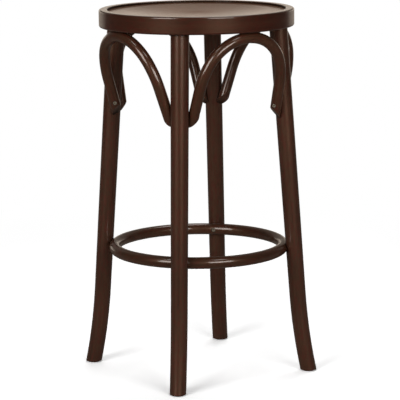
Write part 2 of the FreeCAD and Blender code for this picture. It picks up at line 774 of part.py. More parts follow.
def build_stool():
    """Build every piece and give back the ones that are written out."""
    fasteners, holes = make_fasteners()
    drilled_rim = cut_from("seat_rim_drilled", make_seat_rim(), holes)
    pieces = [cut_from("seat_rim", drilled_rim, make_sockets()), make_seat_panel()]
    pieces.append(cut_from("foot_ring", make_foot_ring(), holes))
    clearance, _ = make_leg_blank("leg_clearance", "arch_leg_clearance")
    clearances = []
    for corner, turn in LEG_TURNS.items():
        blank = make_leg(f"leg_{corner}_blank")
        blank.Placement = Placement(Vector(0, 0, 0), turned(turn))
        pieces.append(cut_from(f"leg_{corner}", blank, holes))
        glide = make_glide(f"glide_{corner}")
        place = turned(turn).multVec(Vector(value(FOOT_RADIUS), 0, 0))
        glide.Placement = Placement(place, turned(turn))
        pieces.append(glide)
        clearances.append(copy_at(clearance, f"leg_clearance_{corner}", blank.Placement))
    leg_spaces = group("leg_spaces", clearances)
    for side, turn in ARCH_TURNS.items():
        blank = make_arch_blank(f"arch_{side}", turn)
        coped = cut_from(f"arch_{side}_coped", blank, leg_spaces)
        pieces.append(cut_from(f"arch_{side}", coped, holes))
    return pieces + fasteners


def check_document(pieces):
    """Stop if any object failed or any piece is empty or broken."""
    doc.recompute()
    for thing in doc.Objects:
        if "Invalid" in thing.State or "Error" in thing.State:
            raise RuntimeError(f"{thing.Name} failed: {thing.State}")
    for piece in pieces:
        if piece.Shape.isNull() or not piece.Shape.isValid() or piece.Shape.Volume <= 0:
            raise RuntimeError(f"{piece.Label} has no sound shape")


def write_pieces(pieces):
    """Write each piece to its own file, named by its label."""
    os.makedirs("parts", exist_ok=True)
    for piece in pieces:
        piece.Shape.exportStep(f"parts/{piece.Label}.step")
        print(f"{piece.Label}: {len(piece.Shape.Solids)} solid, {piece.Shape.Volume:.0f} mm3")


stool = build_stool()
check_document(stool)
write_pieces(stool)
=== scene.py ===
"""The looks of a backless bentwood counter stool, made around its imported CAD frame.

Every size is in metres, in the frame's own axes: +Z is up, the floor is at 0 and -Y is the front.
"""

import logging
import math
from collections.abc import Iterator, Sequence
from dataclasses import dataclass
from enum import Enum
from typing import Any, ClassVar

import bmesh
import bpy
import numpy as np
from mathutils import Matrix, Vector
from mathutils.kdtree import KDTree


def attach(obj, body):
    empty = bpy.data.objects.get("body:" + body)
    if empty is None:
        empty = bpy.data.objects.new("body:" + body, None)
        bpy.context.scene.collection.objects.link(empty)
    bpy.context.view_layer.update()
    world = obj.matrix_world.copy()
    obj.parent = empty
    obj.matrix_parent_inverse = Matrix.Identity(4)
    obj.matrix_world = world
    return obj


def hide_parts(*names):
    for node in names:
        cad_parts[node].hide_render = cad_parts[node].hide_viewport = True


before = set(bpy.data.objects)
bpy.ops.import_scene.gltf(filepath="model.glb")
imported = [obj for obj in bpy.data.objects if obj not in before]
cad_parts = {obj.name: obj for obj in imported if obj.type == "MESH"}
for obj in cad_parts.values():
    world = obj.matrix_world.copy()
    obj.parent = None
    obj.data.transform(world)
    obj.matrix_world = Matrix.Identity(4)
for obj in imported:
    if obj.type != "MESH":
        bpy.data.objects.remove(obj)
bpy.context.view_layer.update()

BODY = "root"
MM = 0.001
GRAIN = "grain"
# The attribute of painted shade at joints, in recesses and under the rim, with a little built-up stain.
SHADE_AND_STAIN = "soil"
WEAR = "wear"
FACING = "facing"
CREASE = math.radians(35)
TOUCH = 1e-7
SEED = 7
ROD_SIDES = 48
LEG_SIDES = 64
RIM_UNDERSIDE = 629 * MM
UP = Vector((0, 0, 1))
DOWN = -UP
log = logging.getLogger("stool")

Colour = tuple[float, float, float]
Scales = tuple[float, float, float]
Span = tuple[float, float]
Outline = list[Span]


class Corner(Enum):
    """The four legs, by the turn of each in degrees, from the front towards the right."""

    FRONT_RIGHT = 45
    BACK_RIGHT = 135
    BACK_LEFT = 225
    FRONT_LEFT = 315


class Side(Enum):
    """The four arches, by the turn of each in degrees, from the front towards the right."""

    FRONT = 0
    RIGHT = 90
    BACK = 180
    LEFT = 270


def neighbours(place: Corner | Side, kind: type[Enum]) -> list[Any]:
    """Give the corners beside a side, or the sides beside a corner: the right one comes first."""
    return [kind((place.value + turn) % 360) for turn in (45, -45)]


def turn_about_z(degrees: float) -> Matrix:
    """Give the 3 by 3 rotation that brings the front round by some degrees, towards the right."""
    return Matrix.Rotation(math.radians(degrees), 3, "Z")


def scaled(colour: Colour, share: float | Colour) -> Colour:
    """Multiply a colour by one share, or by a share for each of red, green and blue."""
    shares = share if isinstance(share, tuple) else (share,) * 3
    return tuple(part * kept for part, kept in zip(colour, shares))


@dataclass(frozen=True)
class Wire:
    """One output of a node, which takes part in Python arithmetic.

    Attributes:
        graph: The tree that the node is in.
        node: The node that gives the output.
        socket: The output itself.
    """

    graph: "Graph"
    node: bpy.types.Node
    socket: Any

    def out(self, name: str) -> "Wire":
        """Give another output of the same node, by its identifier."""
        return Wire(self.graph, self.node, find_socket(self.node.outputs, name))

    def _join(self, operation: str, first: Any, second: Any) -> "Wire":
        """Add the Math or Vector Math node that joins two values.

        Args:
            operation: The node's operation.
            first: The value on the left of the sign.
            second: The value on its right.

        Returns:
            The node's result.
        """
        pair = (first, second)
        wide = any(isinstance(v, tuple) for v in pair) or any(
            isinstance(v, Wire) and v.socket.type in {"VECTOR", "RGBA"} for v in pair
        )
        kind = "ShaderNodeVectorMath" if wide else "ShaderNodeMath"
        if wide:
            pair = [(v,) * 3 if isinstance(v, (int, float)) else v for v in pair]
        return self.graph.add(kind, {"operation": operation}, dict(enumerate(pair)))

    def __add__(self, other: Any) -> "Wire":
        """Add a value to this one."""
        return self._join("ADD", self, other)

    def __radd__(self, other: Any) -> "Wire":
        """Add this value to a plain one."""
        return self._join("ADD", other, self)

    def __sub__(self, other: Any) -> "Wire":
        """Take a value from this one."""
        return self._join("SUBTRACT", self, other)

    def __rsub__(self, other: Any) -> "Wire":
        """Take this value from a plain one."""
        return self._join("SUBTRACT", other, self)

    def __mul__(self, other: Any) -> "Wire":
        """Multiply this value by another."""
        return self._join("MULTIPLY", self, other)

    def __rmul__(self, other: Any) -> "Wire":
        """Multiply a plain value by this one."""
        return self._join("MULTIPLY", other, self)


def find_socket(sockets: Any, key: int | str) -> bpy.types.NodeSocket:
    """Find a node's socket by its place, its identifier or its name.

    Args:
        sockets: The node's inputs or outputs.
        key: A place in the list, or an identifier or name.

    Returns:
        The socket.
    """
    for socket in sockets:
        if socket.identifier == key:
            return socket
    return sockets[key]


class Graph:
    """A node tree that is written as calls and arithmetic."""

    def __init__(self, tree: bpy.types.NodeTree) -> None:
        """Start on a shader or geometry tree."""
        self.tree = tree

    def add(
        self,
        kind: str,
        settings: dict[str, Any] | None = None,
        values: dict[int | str, Any] | None = None,
        out: int | str = 0,
    ) -> Wire:
        """Add a node: its settings first, then what its sockets hold.

        Args:
            kind: The node's type.
            settings: Its own properties, and "stops" for a ramp: pairs of place and level.
            values: Wires or plain values, by socket.
            out: The output to give back.

        Returns:
            One of the node's outputs.
        """
        node = self.tree.nodes.new(kind)
        for name, value in (settings or {}).items():
            if name == "stops":
                for element, (place, level) in zip(node.color_ramp.elements, value, strict=True):
                    element.position = place
                    element.color = (level, level, level, 1.0)
            else:
                setattr(node, name, value)
        for key, value in (values or {}).items():
            socket = find_socket(node.inputs, key)
            if isinstance(value, Wire):
                self.tree.links.new(value.socket, socket)
            else:
                socket.default_value = value
        return Wire(self, node, find_socket(node.outputs, out) if node.outputs else None)

    def place(self) -> Wire:
        """Read the place on the piece, in metres."""
        return self.add("ShaderNodeTexCoord", None, None, "Object")

    def attribute(self, name: str, out: str = "Fac") -> Wire:
        """Read one of the piece's own attributes."""
        return self.add("ShaderNodeAttribute", {"attribute_name": name}, None, out)

    def ramp(self, value: Wire, start: Span, end: Span) -> Wire:
        """Send a value through two stops of a place and a level."""
        return self.add("ShaderNodeValToRGB", {"stops": (start, end)}, {"Fac": value})

    def mask(self, value: Wire, start: float, end: float) -> Wire:
        """Rise evenly from 0 to 1 as a value goes from start to end."""
        return self.ramp(value, (start, 0.0), (end, 1.0))

    def fade(self, value: Wire, start: float, end: float) -> Wire:
        """Rise softly from 0 to 1 as a value goes from start to end."""
        values = {"Value": value, "From Min": start, "From Max": end}
        return self.add("ShaderNodeMapRange", {"interpolation_type": "SMOOTHSTEP"}, values)

    def dot(self, first: Any, second: Any) -> Wire:
        """Give the dot product of two vectors."""
        settings = {"operation": "DOT_PRODUCT"}
        return self.add("ShaderNodeVectorMath", settings, {0: first, 1: second}, "Value")

    def noise(self, where: Wire, scale: float, detail: float = 3.0, rough: float = 0.5) -> Wire:
        """Sample soft noise at a place, from 0 to 1."""
        values = {"Vector": where, "Scale": scale, "Detail": detail, "Roughness": rough}
        return self.add("ShaderNodeTexNoise", None, values)

    def relief(self, height: Wire, strength: float, depth: float) -> Wire:
        """Turn a height into a bumped normal, by a strength and a depth in metres."""
        values = {"Strength": strength, "Distance": depth, "Height": height}
        return self.add("ShaderNodeBump", None, values)

    def blend(self, share: Any, first: Any, second: Any, how: str = "MIX") -> Wire:
        """Blend two colours by a share of the second, from 0 to 1.

        Args:
            share: How much of the second shows.
            first: The colour at share 0.
            second: The colour at share 1.
            how: The Mix node's blend type.

        Returns:
            The blended colour.
        """
        first, second = ((*v, 1.0) if isinstance(v, tuple) else v for v in (first, second))
        settings = {"data_type": "RGBA", "blend_type": how}
        values = {"Factor_Float": share, "A_Color": first, "B_Color": second}
        return self.add("ShaderNodeMix", settings, values, "Result_Color")

    def glow(self, strength: float, colour: Colour = (1.0, 1.0, 1.0)) -> Wire:
        """Give a shader that shines by itself."""
        values = {"Color": (*colour, 1.0), "Strength": strength}
        return self.add("ShaderNodeEmission", None, values)

    def matt(self, colour: Colour) -> Wire:
        """Give a matt shader."""
        return self.add("ShaderNodeBsdfDiffuse", None, {"Color": (*colour, 1.0)})

    def mix(self, share: Wire, first: Wire, second: Wire) -> Wire:
        """Mix two shaders by a share of the second, from 0 to 1."""
        return self.add("ShaderNodeMixShader", None, {0: share, 1: first, 2: second})

    def rays(self) -> tuple[Wire, Wire]:
        """Tell whether a ray comes from the camera, and whether it is mirrored or passes through."""
        seen = self.add("ShaderNodeLightPath", None, None, "Is Camera Ray")
        return seen, seen.out("Is Glossy Ray") + seen.out("Is Transmission Ray")


def new_material(name: str) -> tuple[bpy.types.Material, Graph]:
    """Make a material with an empty tree.

    Args:
        name: The material's name.

    Returns:
        The material, and its tree.
    """
    material = bpy.data.materials.new(name)
    material.use_nodes = True
    material.node_tree.nodes.clear()
    return material, Graph(material.node_tree)


@dataclass(frozen=True)
class Finish:
    """What one kind of surface is made of.

    Attributes:
        slot: The record's material slot, which also names the material.
    """

    slot: str
    kind: ClassVar[str] = ""

    def surface(self, graph: Graph) -> dict[str, Any]:
        """Give what the sockets of the Principled shader hold."""
        raise NotImplementedError

    def material(self) -> bpy.types.Material:
        """Build the material.

        Returns:
            The material, named after its slot and its kind.
        """
        material, graph = new_material(f"{self.slot}_{self.kind}")
        shader = graph.add("ShaderNodeBsdfPrincipled", None, self.surface(graph))
        graph.add("ShaderNodeOutputMaterial", None, {"Surface": shader})
        return material


@dataclass(frozen=True)
class StainedBeech(Finish):
    """Steamed beech, stained dark walnut and lacquered to a satin gloss.

    One attribute is painted shade with a little built-up stain: it darkens the wood and dulls the
    lacquer at joints, in the rim's rebate and under the rim. Its wear attribute is where the
    lacquer is rubbed. The scales of the figure are in cycles to a metre, across, across and along.
    lacquer is rubbed. The scales of the figure are in cycles to a metre, across, across and along.

    Attributes:
        deep: The stain where the wood is dense, in linear red, green and blue.
        warm: The stain where the wood is open.
        figure: How much the broad figure shows, from 0 to 1.
        gloss: The roughness of the lacquer.
        reflection: The refractive index that sets how much the lacquer mirrors.
        sheen: The tint of the broad sheen that comes from under the lacquer.
        flush: How much of each colour is left where the stain has taken redder.
    """

    deep: Colour
    warm: Colour
    figure: float = 0.8
    gloss: float = 0.13
    reflection: float = 1.5
    sheen: Colour = (1.0, 0.6, 0.38)
    flush: Colour = (0.9, 0.42, 0.5)
    kind: ClassVar[str] = "stained_beech"
    bands: ClassVar[Scales] = (95.0, 95.0, 3.5)
    mottles: ClassVar[Scales] = (300.0, 300.0, 90.0)
    fibres: ClassVar[Scales] = (700.0, 700.0, 16.0)
    flecks: ClassVar[Scales] = (1500.0, 1500.0, 190.0)
    clouds: ClassVar[float] = 7.0

    def surface(self, graph: Graph) -> dict[str, Any]:
        """Give the wood's colour, gloss, lacquer and pores.

        Args:
            graph: The material's tree.

        Returns:
            What each socket of the shader holds.
        """
        grain = graph.attribute(GRAIN, "Vector")
        # Painted shade at joints, in recesses and under the rim, with a little built-up stain.
        soil = graph.attribute(SHADE_AND_STAIN)
        wear = graph.attribute(WEAR)
        broad = graph.mask(graph.noise(grain * self.bands, 1.0, 3.0, 0.55), 0.32, 0.68)
        mottle = graph.mask(graph.noise(grain * self.mottles, 1.0, 2.0), 0.45, 0.62)
        fine = graph.mask(graph.noise(grain * self.fibres, 1.0, 4.0, 0.6), 0.3, 0.7)
        dots = graph.mask(graph.noise(grain * self.flecks, 1.0, 1.0), 0.6, 0.68)
        cloud = graph.noise(graph.place(), self.clouds, 2.0)
        open_wood = broad * self.figure * 0.55 + fine * 0.5
        stained = graph.blend(open_wood, self.deep, self.warm)
        flushed = graph.blend(mottle * 0.75, stained, scaled(self.warm, self.flush))
        uneven = graph.blend(1.0, flushed, graph.ramp(cloud, (0.3, 0.72), (0.7, 1.0)), "MULTIPLY")
        pored = graph.blend(dots * 0.55, uneven, scaled(self.deep, 0.45))
        return {
            # Where the shade is painted the wood turns darker and the lacquer duller.
            "Base Color": graph.blend(soil * 0.92, pored, scaled(self.deep, 0.12)),
            "Roughness": 0.3 + fine * 0.08 + dots * 0.1 + wear * 0.1 + soil * 0.5,
            "Specular IOR Level": 0.4,
            "Specular Tint": (*self.sheen, 1.0),
            "Coat Weight": (0.8 - dots * 0.25) * (1.0 - soil * 0.95) * (1.0 - wear),
            "Coat Roughness": self.gloss,
            "Coat IOR": self.reflection,
            "Normal": graph.relief(fine * 0.5 - dots * 0.6 + cloud * 0.3, 0.12, 0.3 * MM),
        }


@dataclass(frozen=True)
class MouldedPlastic(Finish):
    """Dark moulded plastic with a fine sparked texture, scuffed pale by the floor.

    Attributes:
        colour: The plastic's colour, in linear red, green and blue.
    """

    colour: Colour
    kind: ClassVar[str] = "moulded"
    sparks: ClassVar[float] = 2600.0
    scratches: ClassVar[Scales] = (60.0, 900.0, 400.0)

    def surface(self, graph: Graph) -> dict[str, Any]:
        """Give the plastic's colour, gloss and texture.

        Args:
            graph: The material's tree.

        Returns:
            What each socket of the shader holds.
        """
        place = graph.place()
        scuffs = graph.mask(graph.noise(place * self.scratches, 1.0), 0.55, 0.75)
        return {
            "Base Color": graph.blend(scuffs * 0.3, self.colour, scaled(self.colour, 2.6)),
            "Roughness": 0.5 + scuffs * 0.2,
            "Specular IOR Level": 0.3,
            "Normal": graph.relief(graph.noise(place, self.sparks, 2.0), 0.25, 0.1 * MM),
        }


@dataclass(frozen=True)
class PlatedSteel(Finish):
    """Zinc-plated steel with a faint yellow tint, turned marks and dull spots.

    One attribute holds a dark ring of lacquer residue and painted shade round the head's edge,
    and painted shade in the cross recess.

    Attributes:
        colour: The plating's colour, in linear red, green and blue.
        polish: The roughness of the plating.
    """

    colour: Colour
    polish: float
    kind: ClassVar[str] = "plated"
    spotting: ClassVar[float] = 420.0
    marks: ClassVar[float] = 2200.0
    # The near-black colour of the residue and the painted shade on the heads.
    residue_and_shade: ClassVar[Colour] = (0.008, 0.005, 0.004)

    def surface(self, graph: Graph) -> dict[str, Any]:
        """Give the steel's colour, metal, gloss and marks.

        Args:
            graph: The material's tree.

        Returns:
            What each socket of the shader holds.
        """
        place = graph.place()
        # Residue and painted shade, which darken the steel and take its shine.
        soil = graph.attribute(SHADE_AND_STAIN)
        spots = graph.mask(graph.noise(place, self.spotting), 0.4, 0.7)
        plated = graph.blend(spots * 0.5, self.colour, scaled(self.colour, 0.55))
        return {
            "Base Color": graph.blend(soil * 0.95, plated, self.residue_and_shade),
            "Metallic": 0.95 - soil * 0.9,
            "Roughness": self.polish + spots * 0.2 + soil * 0.3,
            "Normal": graph.relief(graph.noise(place, self.marks, 2.0), 0.15, 0.05 * MM),
        }


RIM_WOOD = StainedBeech("rim_wood", (0.0208, 0.0059, 0.0030), (0.0480, 0.0143, 0.0075), 0.8, 0.1)
PANEL_WOOD = StainedBeech("panel_wood", (0.1551, 0.0671, 0.0264), (0.2249, 0.1028, 0.0428), 0.6, 0.14)
LEG_WOOD = StainedBeech("leg_wood", (0.0250, 0.0098, 0.0052), (0.0611, 0.0249, 0.0137))
ARCH_WOOD = StainedBeech("arch_wood", (0.0256, 0.0100, 0.0047), (0.0592, 0.0247, 0.0117))
RING_WOOD = StainedBeech("ring_wood", (0.0237, 0.0097, 0.0049), (0.0561, 0.0241, 0.0119))
GLIDE_PLASTIC = MouldedPlastic("glide_plastic", (0.012, 0.009, 0.008))
SCREW_STEEL = PlatedSteel("screw_steel", (0.42, 0.35, 0.25), 0.28)
NAIL_STEEL = PlatedSteel("nail_steel", (0.50, 0.49, 0.47), 0.35)
FINISHES = (
    RIM_WOOD, PANEL_WOOD, LEG_WOOD, ARCH_WOOD, RING_WOOD, GLIDE_PLASTIC, SCREW_STEEL, NAIL_STEEL
)


def search_tree(points: np.ndarray) -> KDTree:
    """Give a search tree of some points.

    Args:
        points: The points, one to a row.

    Returns:
        The tree, which tells the nearest point's number and distance.
    """
    tree = KDTree(len(points))
    for number, point in enumerate(points):
        tree.insert(Vector(point), number)
    tree.balance()
    return tree


@dataclass
class RodPath:
    """The middle line of a bent rod, which lies in one plane.

    Attributes:
        points: The line's points in order, one to a row.
        across: The unit vector square to the line's plane.
        closed: Whether the last point joins the first.
    """

    points: np.ndarray
    across: np.ndarray
    closed: bool = False

    def turned(self, turn: Matrix, shift: Sequence[float] = (0, 0, 0)) -> "RodPath":
        """Give the same line, turned and then moved."""
        matrix = np.array(turn)
        return RodPath(self.points @ matrix.T + np.array(shift), matrix @ self.across, self.closed)

    def carrier(self) -> bpy.types.Mesh:
        """Give a mesh of bare edges along the line, for the rod's tree.

        Returns:
            The mesh.
        """
        count = len(self.points)
        edges = [(i, (i + 1) % count) for i in range(count if self.closed else count - 1)]
        mesh = bpy.data.meshes.new("rod_line")
        mesh.from_pydata([tuple(p) for p in self.points], edges, [])
        return mesh

    def grain_at(self, places: np.ndarray) -> np.ndarray:
        """Give each place its two distances across the fibres and its distance along them.

        Round a closed rod the distance grows both ways from the first point, so it has no jump.

        Args:
            places: The places, one to a row.

        Returns:
            Across, across and along, one row for each place.
        """
        starts = self.points if self.closed else self.points[:-1]
        ends = np.roll(self.points, -1, axis=0) if self.closed else self.points[1:]
        steps = ends - starts
        lengths = np.linalg.norm(steps, axis=1)
        forward = steps / lengths[:, None]
        before = np.concatenate(([0.0], np.cumsum(lengths)[:-1]))
        tree = search_tree((starts + ends) / 2)
        near = np.array([tree.find(Vector(place))[1] for place in places])
        gap = places - starts[near]
        along = before[near] + np.einsum("ij,ij->i", gap, forward[near])
        if self.closed:
            along = np.minimum(along, lengths.sum() - along)
        side = np.cross(forward[near], self.across)
        return np.stack((np.einsum("ij,ij->i", gap, side), gap @ self.across, along), axis=1)


Rod = tuple[RodPath, float]


def arc_points(centre: Span, radius: float, start: float, end: float, step: float) -> Iterator[Span]:
    """Give points along an arc, both ends among them.

    Args:
        centre: The arc's centre.
        radius: Its radius.
        start: The angle of its first point, in radians.
        end: The angle of its last point.
        step: The most that two points may be apart.

    Yields:
        The points in order.
    """
    count = max(2, math.ceil(abs(end - start) * radius / step))
    for number in range(count + 1):
        angle = start + (end - start) * number / count
        yield centre[0] + radius * math.cos(angle), centre[1] + radius * math.sin(angle)


def line_points(start: Sequence[float], end: Sequence[float], step: float) -> list[tuple]:
    """Give points along a straight run, without its first.

    Args:
        start: The point where the run begins.
        end: The run's last point.
        step: The most that two points may be apart.

    Returns:
        The points in order.
    """
    count = max(1, math.ceil(math.dist(start, end) / step))
    shares = (number / count for number in range(1, count))
    return [tuple(a + (b - a) * share for a, b in zip(start, end)) for share in shares] + [end]


def rounded(
    corners: Sequence[tuple[float, float, float]], pieces: int = 6, support: float = 0.12
) -> Outline:
    """Round the corners of a closed outline.

    A point just beyond each end of a rounding keeps the flat face beside it flat in the light.

    Args:
        corners: Each corner's two coordinates and the radius of its rounding.
        pieces: The straight pieces of each rounding.
        support: How far beyond the rounding those points are, as a share of its radius.

    Returns:
        The outline's points.
    """
    points: Outline = []
    for number, (x, y, radius) in enumerate(corners):
        if radius == 0:
            points.append((x, y))
            continue
        here = Vector((x, y))
        before = (Vector(corners[number - 1][:2]) - here).normalized()
        after = (Vector(corners[(number + 1) % len(corners)][:2]) - here).normalized()
        half = before.angle(after) / 2
        middle = here + (before + after).normalized() * (radius / math.sin(half))
        first = here + before * (radius / math.tan(half)) - middle
        last = here + after * (radius / math.tan(half)) - middle
        swing = first.angle_signed(last)
        points.append(tuple(middle + first + before * (radius * support)))
        for step in range(pieces + 1):
            spoke = first.copy()
            spoke.rotate(Matrix.Rotation(-swing * step / pieces, 2))
            points.append(tuple(middle + spoke))
        points.append(tuple(middle + last + after * (radius * support)))
    return points


def lathe(name: str, outline: Outline, steps: int) -> bpy.types.Mesh:
    """Turn an outline of radius and height about the Z axis.

    An outline that touches the axis at both ends is closed there by a pole.

    Args:
        name: The mesh's name.
        outline: Pairs of a radius and a height, in order.
        steps: The steps round the axis.

    Returns:
        A closed mesh whose faces point outwards.
    """
    shape = bmesh.new()
    rings = []
    for radius, height in outline:
        if radius < TOUCH:
            rings.append([shape.verts.new((0, 0, height))] * steps)
            continue
        angles = (2 * math.pi * step / steps for step in range(steps))
        spots = [(radius * math.cos(a), radius * math.sin(a), height) for a in angles]
        rings.append([shape.verts.new(spot) for spot in spots])
    for lower, upper in zip(rings, rings[1:] + rings[:1]):
        for step in range(steps):
            after = (step + 1) % steps
            unique = list(dict.fromkeys((lower[step], lower[after], upper[after], upper[step])))
            if len(unique) > 2:
                shape.faces.new(unique)
    return mesh_from(shape, name)


def mesh_from(shape: bmesh.types.BMesh, name: str) -> bpy.types.Mesh:
    """Turn a bmesh into a mesh whose faces point outwards, and free it.

    Args:
        shape: The bmesh.
        name: The mesh's name.

    Returns:
        The mesh.
    """
    bmesh.ops.remove_doubles(shape, verts=shape.verts, dist=TOUCH)
    mesh = bpy.data.meshes.new(name)
    close_up(shape, mesh)
    return mesh


def close_up(shape: bmesh.types.BMesh, mesh: bpy.types.Mesh) -> None:
    """Write a bmesh into a mesh with its faces outwards, and free it.

    Args:
        shape: The bmesh.
        mesh: The mesh, which is overwritten.
    """
    bmesh.ops.recalc_face_normals(shape, faces=shape.faces)
    shape.to_mesh(mesh)
    shape.free()


def opened(mesh: bpy.types.Mesh) -> bmesh.types.BMesh:
    """Open a mesh for changes.

    Args:
        mesh: The mesh.

    Returns:
        The mesh as a bmesh.
    """
    shape = bmesh.new()
    shape.from_mesh(mesh)
    return shape


def shown(mesh: bpy.types.Mesh, name: str) -> bpy.types.Object:
    """Put a mesh in the scene as an object at the origin.

    Args:
        mesh: The mesh.
        name: The object's name.

    Returns:
        The object.
    """
    thing = bpy.data.objects.new(name, mesh)
    bpy.context.scene.collection.objects.link(thing)
    return thing


def evaluated_mesh(carrier: bpy.types.Object, name: str) -> bpy.types.Mesh:
    """Give what an object's modifiers make of it as a plain mesh, and remove the object.

    Args:
        carrier: The object with its modifiers.
        name: The new mesh's name.

    Returns:
        The plain mesh.
    """
    graph = bpy.context.evaluated_depsgraph_get()
    mesh = bpy.data.meshes.new_from_object(carrier.evaluated_get(graph))
    mesh.name = name
    bpy.data.objects.remove(carrier)
    return mesh


def paint(mesh: bpy.types.Mesh, name: str, values: np.ndarray) -> None:
    """Store a number or a vector for each vertex of a mesh.

    Args:
        mesh: The mesh.
        name: The attribute's name.
        values: The numbers, or the vectors one to a row.
    """
    wide = values.ndim == 2
    layer = mesh.attributes.new(name, "FLOAT_VECTOR" if wide else "FLOAT", "POINT")
    layer.data.foreach_set("vector" if wide else "value", values.astype(np.float32).ravel())


def vertices_of(mesh: bpy.types.Mesh) -> np.ndarray:
    """Give a mesh's vertices.

    Args:
        mesh: The mesh.

    Returns:
        The vertices, one to a row.
    """
    flat = np.empty(len(mesh.vertices) * 3, dtype=np.float64)
    mesh.vertices.foreach_get("co", flat)
    return flat.reshape(-1, 3)


class ShapeTree(Graph):
    """A Geometry Nodes tree with named inputs, which is run on a carrier mesh."""

    def __init__(self, name: str, inputs: dict[str, str]) -> None:
        """Make the tree with its inputs.

        Args:
            name: The tree's name.
            inputs: The kind of each named input: Float, Int, Object or Material.
        """
        super().__init__(bpy.data.node_groups.new(name, "GeometryNodeTree"))
        interface = self.tree.interface
        interface.new_socket("Carrier", in_out="INPUT", socket_type="NodeSocketGeometry")
        self.identifiers = {}
        for label, kind in inputs.items():
            socket = interface.new_socket(label, in_out="INPUT", socket_type="NodeSocket" + kind)
            self.identifiers[label] = socket.identifier
        interface.new_socket("Shape", in_out="OUTPUT", socket_type="NodeSocketGeometry")
        self.entry = self.add("NodeGroupInput")

    def given(self, label: str) -> Wire:
        """Give one of the tree's named inputs."""
        return self.entry.out(self.identifiers[label])

    def end(self, shape: Wire, material: Wire) -> None:
        """Realize the shape's instances, give it its material and end the tree.

        Args:
            shape: The geometry.
            material: The material.
        """
        real = self.add("GeometryNodeRealizeInstances", None, {"Geometry": shape})
        values = {"Geometry": real, "Material": material}
        dressed = self.add("GeometryNodeSetMaterial", None, values)
        self.add("NodeGroupOutput", None, {0: dressed})

    def run(self, carrier: bpy.types.Mesh, name: str, **given: Any) -> bpy.types.Mesh:
        """Run the tree on a carrier.

        Args:
            carrier: The mesh that the tree starts from.
            name: The new mesh's name.
            **given: A value for each named input.

        Returns:
            The plain mesh that the tree makes.
        """
        thing = shown(carrier, name + "_carrier")
        modifier = thing.modifiers.new(self.tree.name, "NODES")
        modifier.node_group = self.tree
        for label, value in given.items():
            modifier[self.identifiers[label]] = value
        return evaluated_mesh(thing, name)


def rod_tree() -> ShapeTree:
    """Build the tree that sweeps a round rod along a line and tapers it from foot to head.

    Returns:
        The tree.
    """
    inputs = {"foot": "Float", "head": "Float", "sides": "Int", "wood": "Material"}
    tree = ShapeTree("bent_rod", inputs)
    line = tree.add("GeometryNodeMeshToCurve", None, {"Mesh": tree.entry})
    share = tree.add("GeometryNodeSplineParameter")
    values = {"Value": share, "To Min": tree.given("foot"), "To Max": tree.given("head")}
    radius = tree.add("ShaderNodeMapRange", None, values)
    values = {"Resolution": tree.given("sides"), "Radius": 1.0}
    section = tree.add("GeometryNodeCurvePrimitiveCircle", None, values)
    values = {"Curve": line, "Profile Curve": section, "Scale": radius, "Fill Caps": True}
    tree.end(tree.add("GeometryNodeCurveToMesh", None, values), tree.given("wood"))
    return tree


def fastener_tree() -> ShapeTree:
    """Build the tree that sets one fastener at each carrier point, turned to its facing.

    Each one is spun about its own axis by a seeded amount, as a fitter leaves them.

    Returns:
        The tree.
    """
    inputs = {"fastener": "Object", "spin": "Float", "seed": "Int", "steel": "Material"}
    tree = ShapeTree("set_fasteners", inputs)
    one = tree.add("GeometryNodeObjectInfo", None, {"Object": tree.given("fastener")}, "Geometry")
    settings = {"data_type": "FLOAT_VECTOR"}
    facing = tree.add("GeometryNodeInputNamedAttribute", settings, {"Name": FACING}, "Attribute")
    turned = tree.add("FunctionNodeAlignRotationToVector", {"axis": "Z"}, {"Vector": facing})
    values = {"Min_001": 0.0, "Max_001": tree.given("spin"), "Seed": tree.given("seed")}
    spin = tree.add("FunctionNodeRandomValue", {"data_type": "FLOAT"}, values, "Value_001")
    values = {"Axis": tuple(UP), "Angle": spin}
    twist = tree.add("FunctionNodeAxisAngleToRotation", None, values)
    values = {"Rotation": turned, "Rotate By": twist}
    rotation = tree.add("FunctionNodeRotateRotation", {"rotation_space": "LOCAL"}, values)
    values = {"Points": tree.entry, "Instance": one, "Rotation": rotation}
    tree.end(tree.add("GeometryNodeInstanceOnPoints", None, values), tree.given("steel"))
    return tree


def carve(mesh: bpy.types.Mesh, tools: Sequence[bpy.types.Mesh], join: bool = False) -> bpy.types.Mesh:
    """Cut tools out of a mesh, or join them on.

    Args:
        mesh: The mesh to work on.
        tools: Closed meshes, used one after the other.
        join: Whether the tools are joined on instead.

    Returns:
        The new mesh.
    """
    thing = shown(mesh, mesh.name + "_work")
    helpers = [shown(tool, "tool") for tool in tools]
    for helper in helpers:
        modifier = thing.modifiers.new("cut", "BOOLEAN")
        modifier.operation = "UNION" if join else "DIFFERENCE"
        modifier.solver = "EXACT"
        modifier.object = helper
    result = evaluated_mesh(thing, mesh.name)
    for helper in helpers:
        bpy.data.objects.remove(helper)
    return result


def saw(
    mesh: bpy.types.Mesh, at: Vector, away: Vector, ease: float = 0.0, reach: float = math.inf
) -> None:
    """Saw a closed mesh flat, cap the cut and ease its edge.

    Args:
        mesh: The mesh, which is changed.
        at: A point of the cut.
        away: The direction of what falls off.
        ease: The width of the eased edge.
        reach: How far from that point the saw cuts.
    """
    shape = opened(mesh)
    near = {vert for vert in shape.verts if (vert.co - at).length < reach}
    parts = list(near)
    for group in (shape.edges, shape.faces):
        parts += [part for part in group if near.issuperset(part.verts)]
    cut = bmesh.ops.bisect_plane(
        shape, geom=parts, dist=1e-8, plane_co=at, plane_no=away, clear_outer=True
    )
    rim = [part for part in cut["geom_cut"] if isinstance(part, bmesh.types.BMEdge)]
    bmesh.ops.edgeloop_fill(shape, edges=rim)
    if ease:
        edges = [edge for edge in rim if edge.is_valid]
        bmesh.ops.bevel(
            shape, geom=edges, offset=ease, segments=4, profile=0.5, affect="EDGES", clamp_overlap=True
        )
    close_up(shape, mesh)


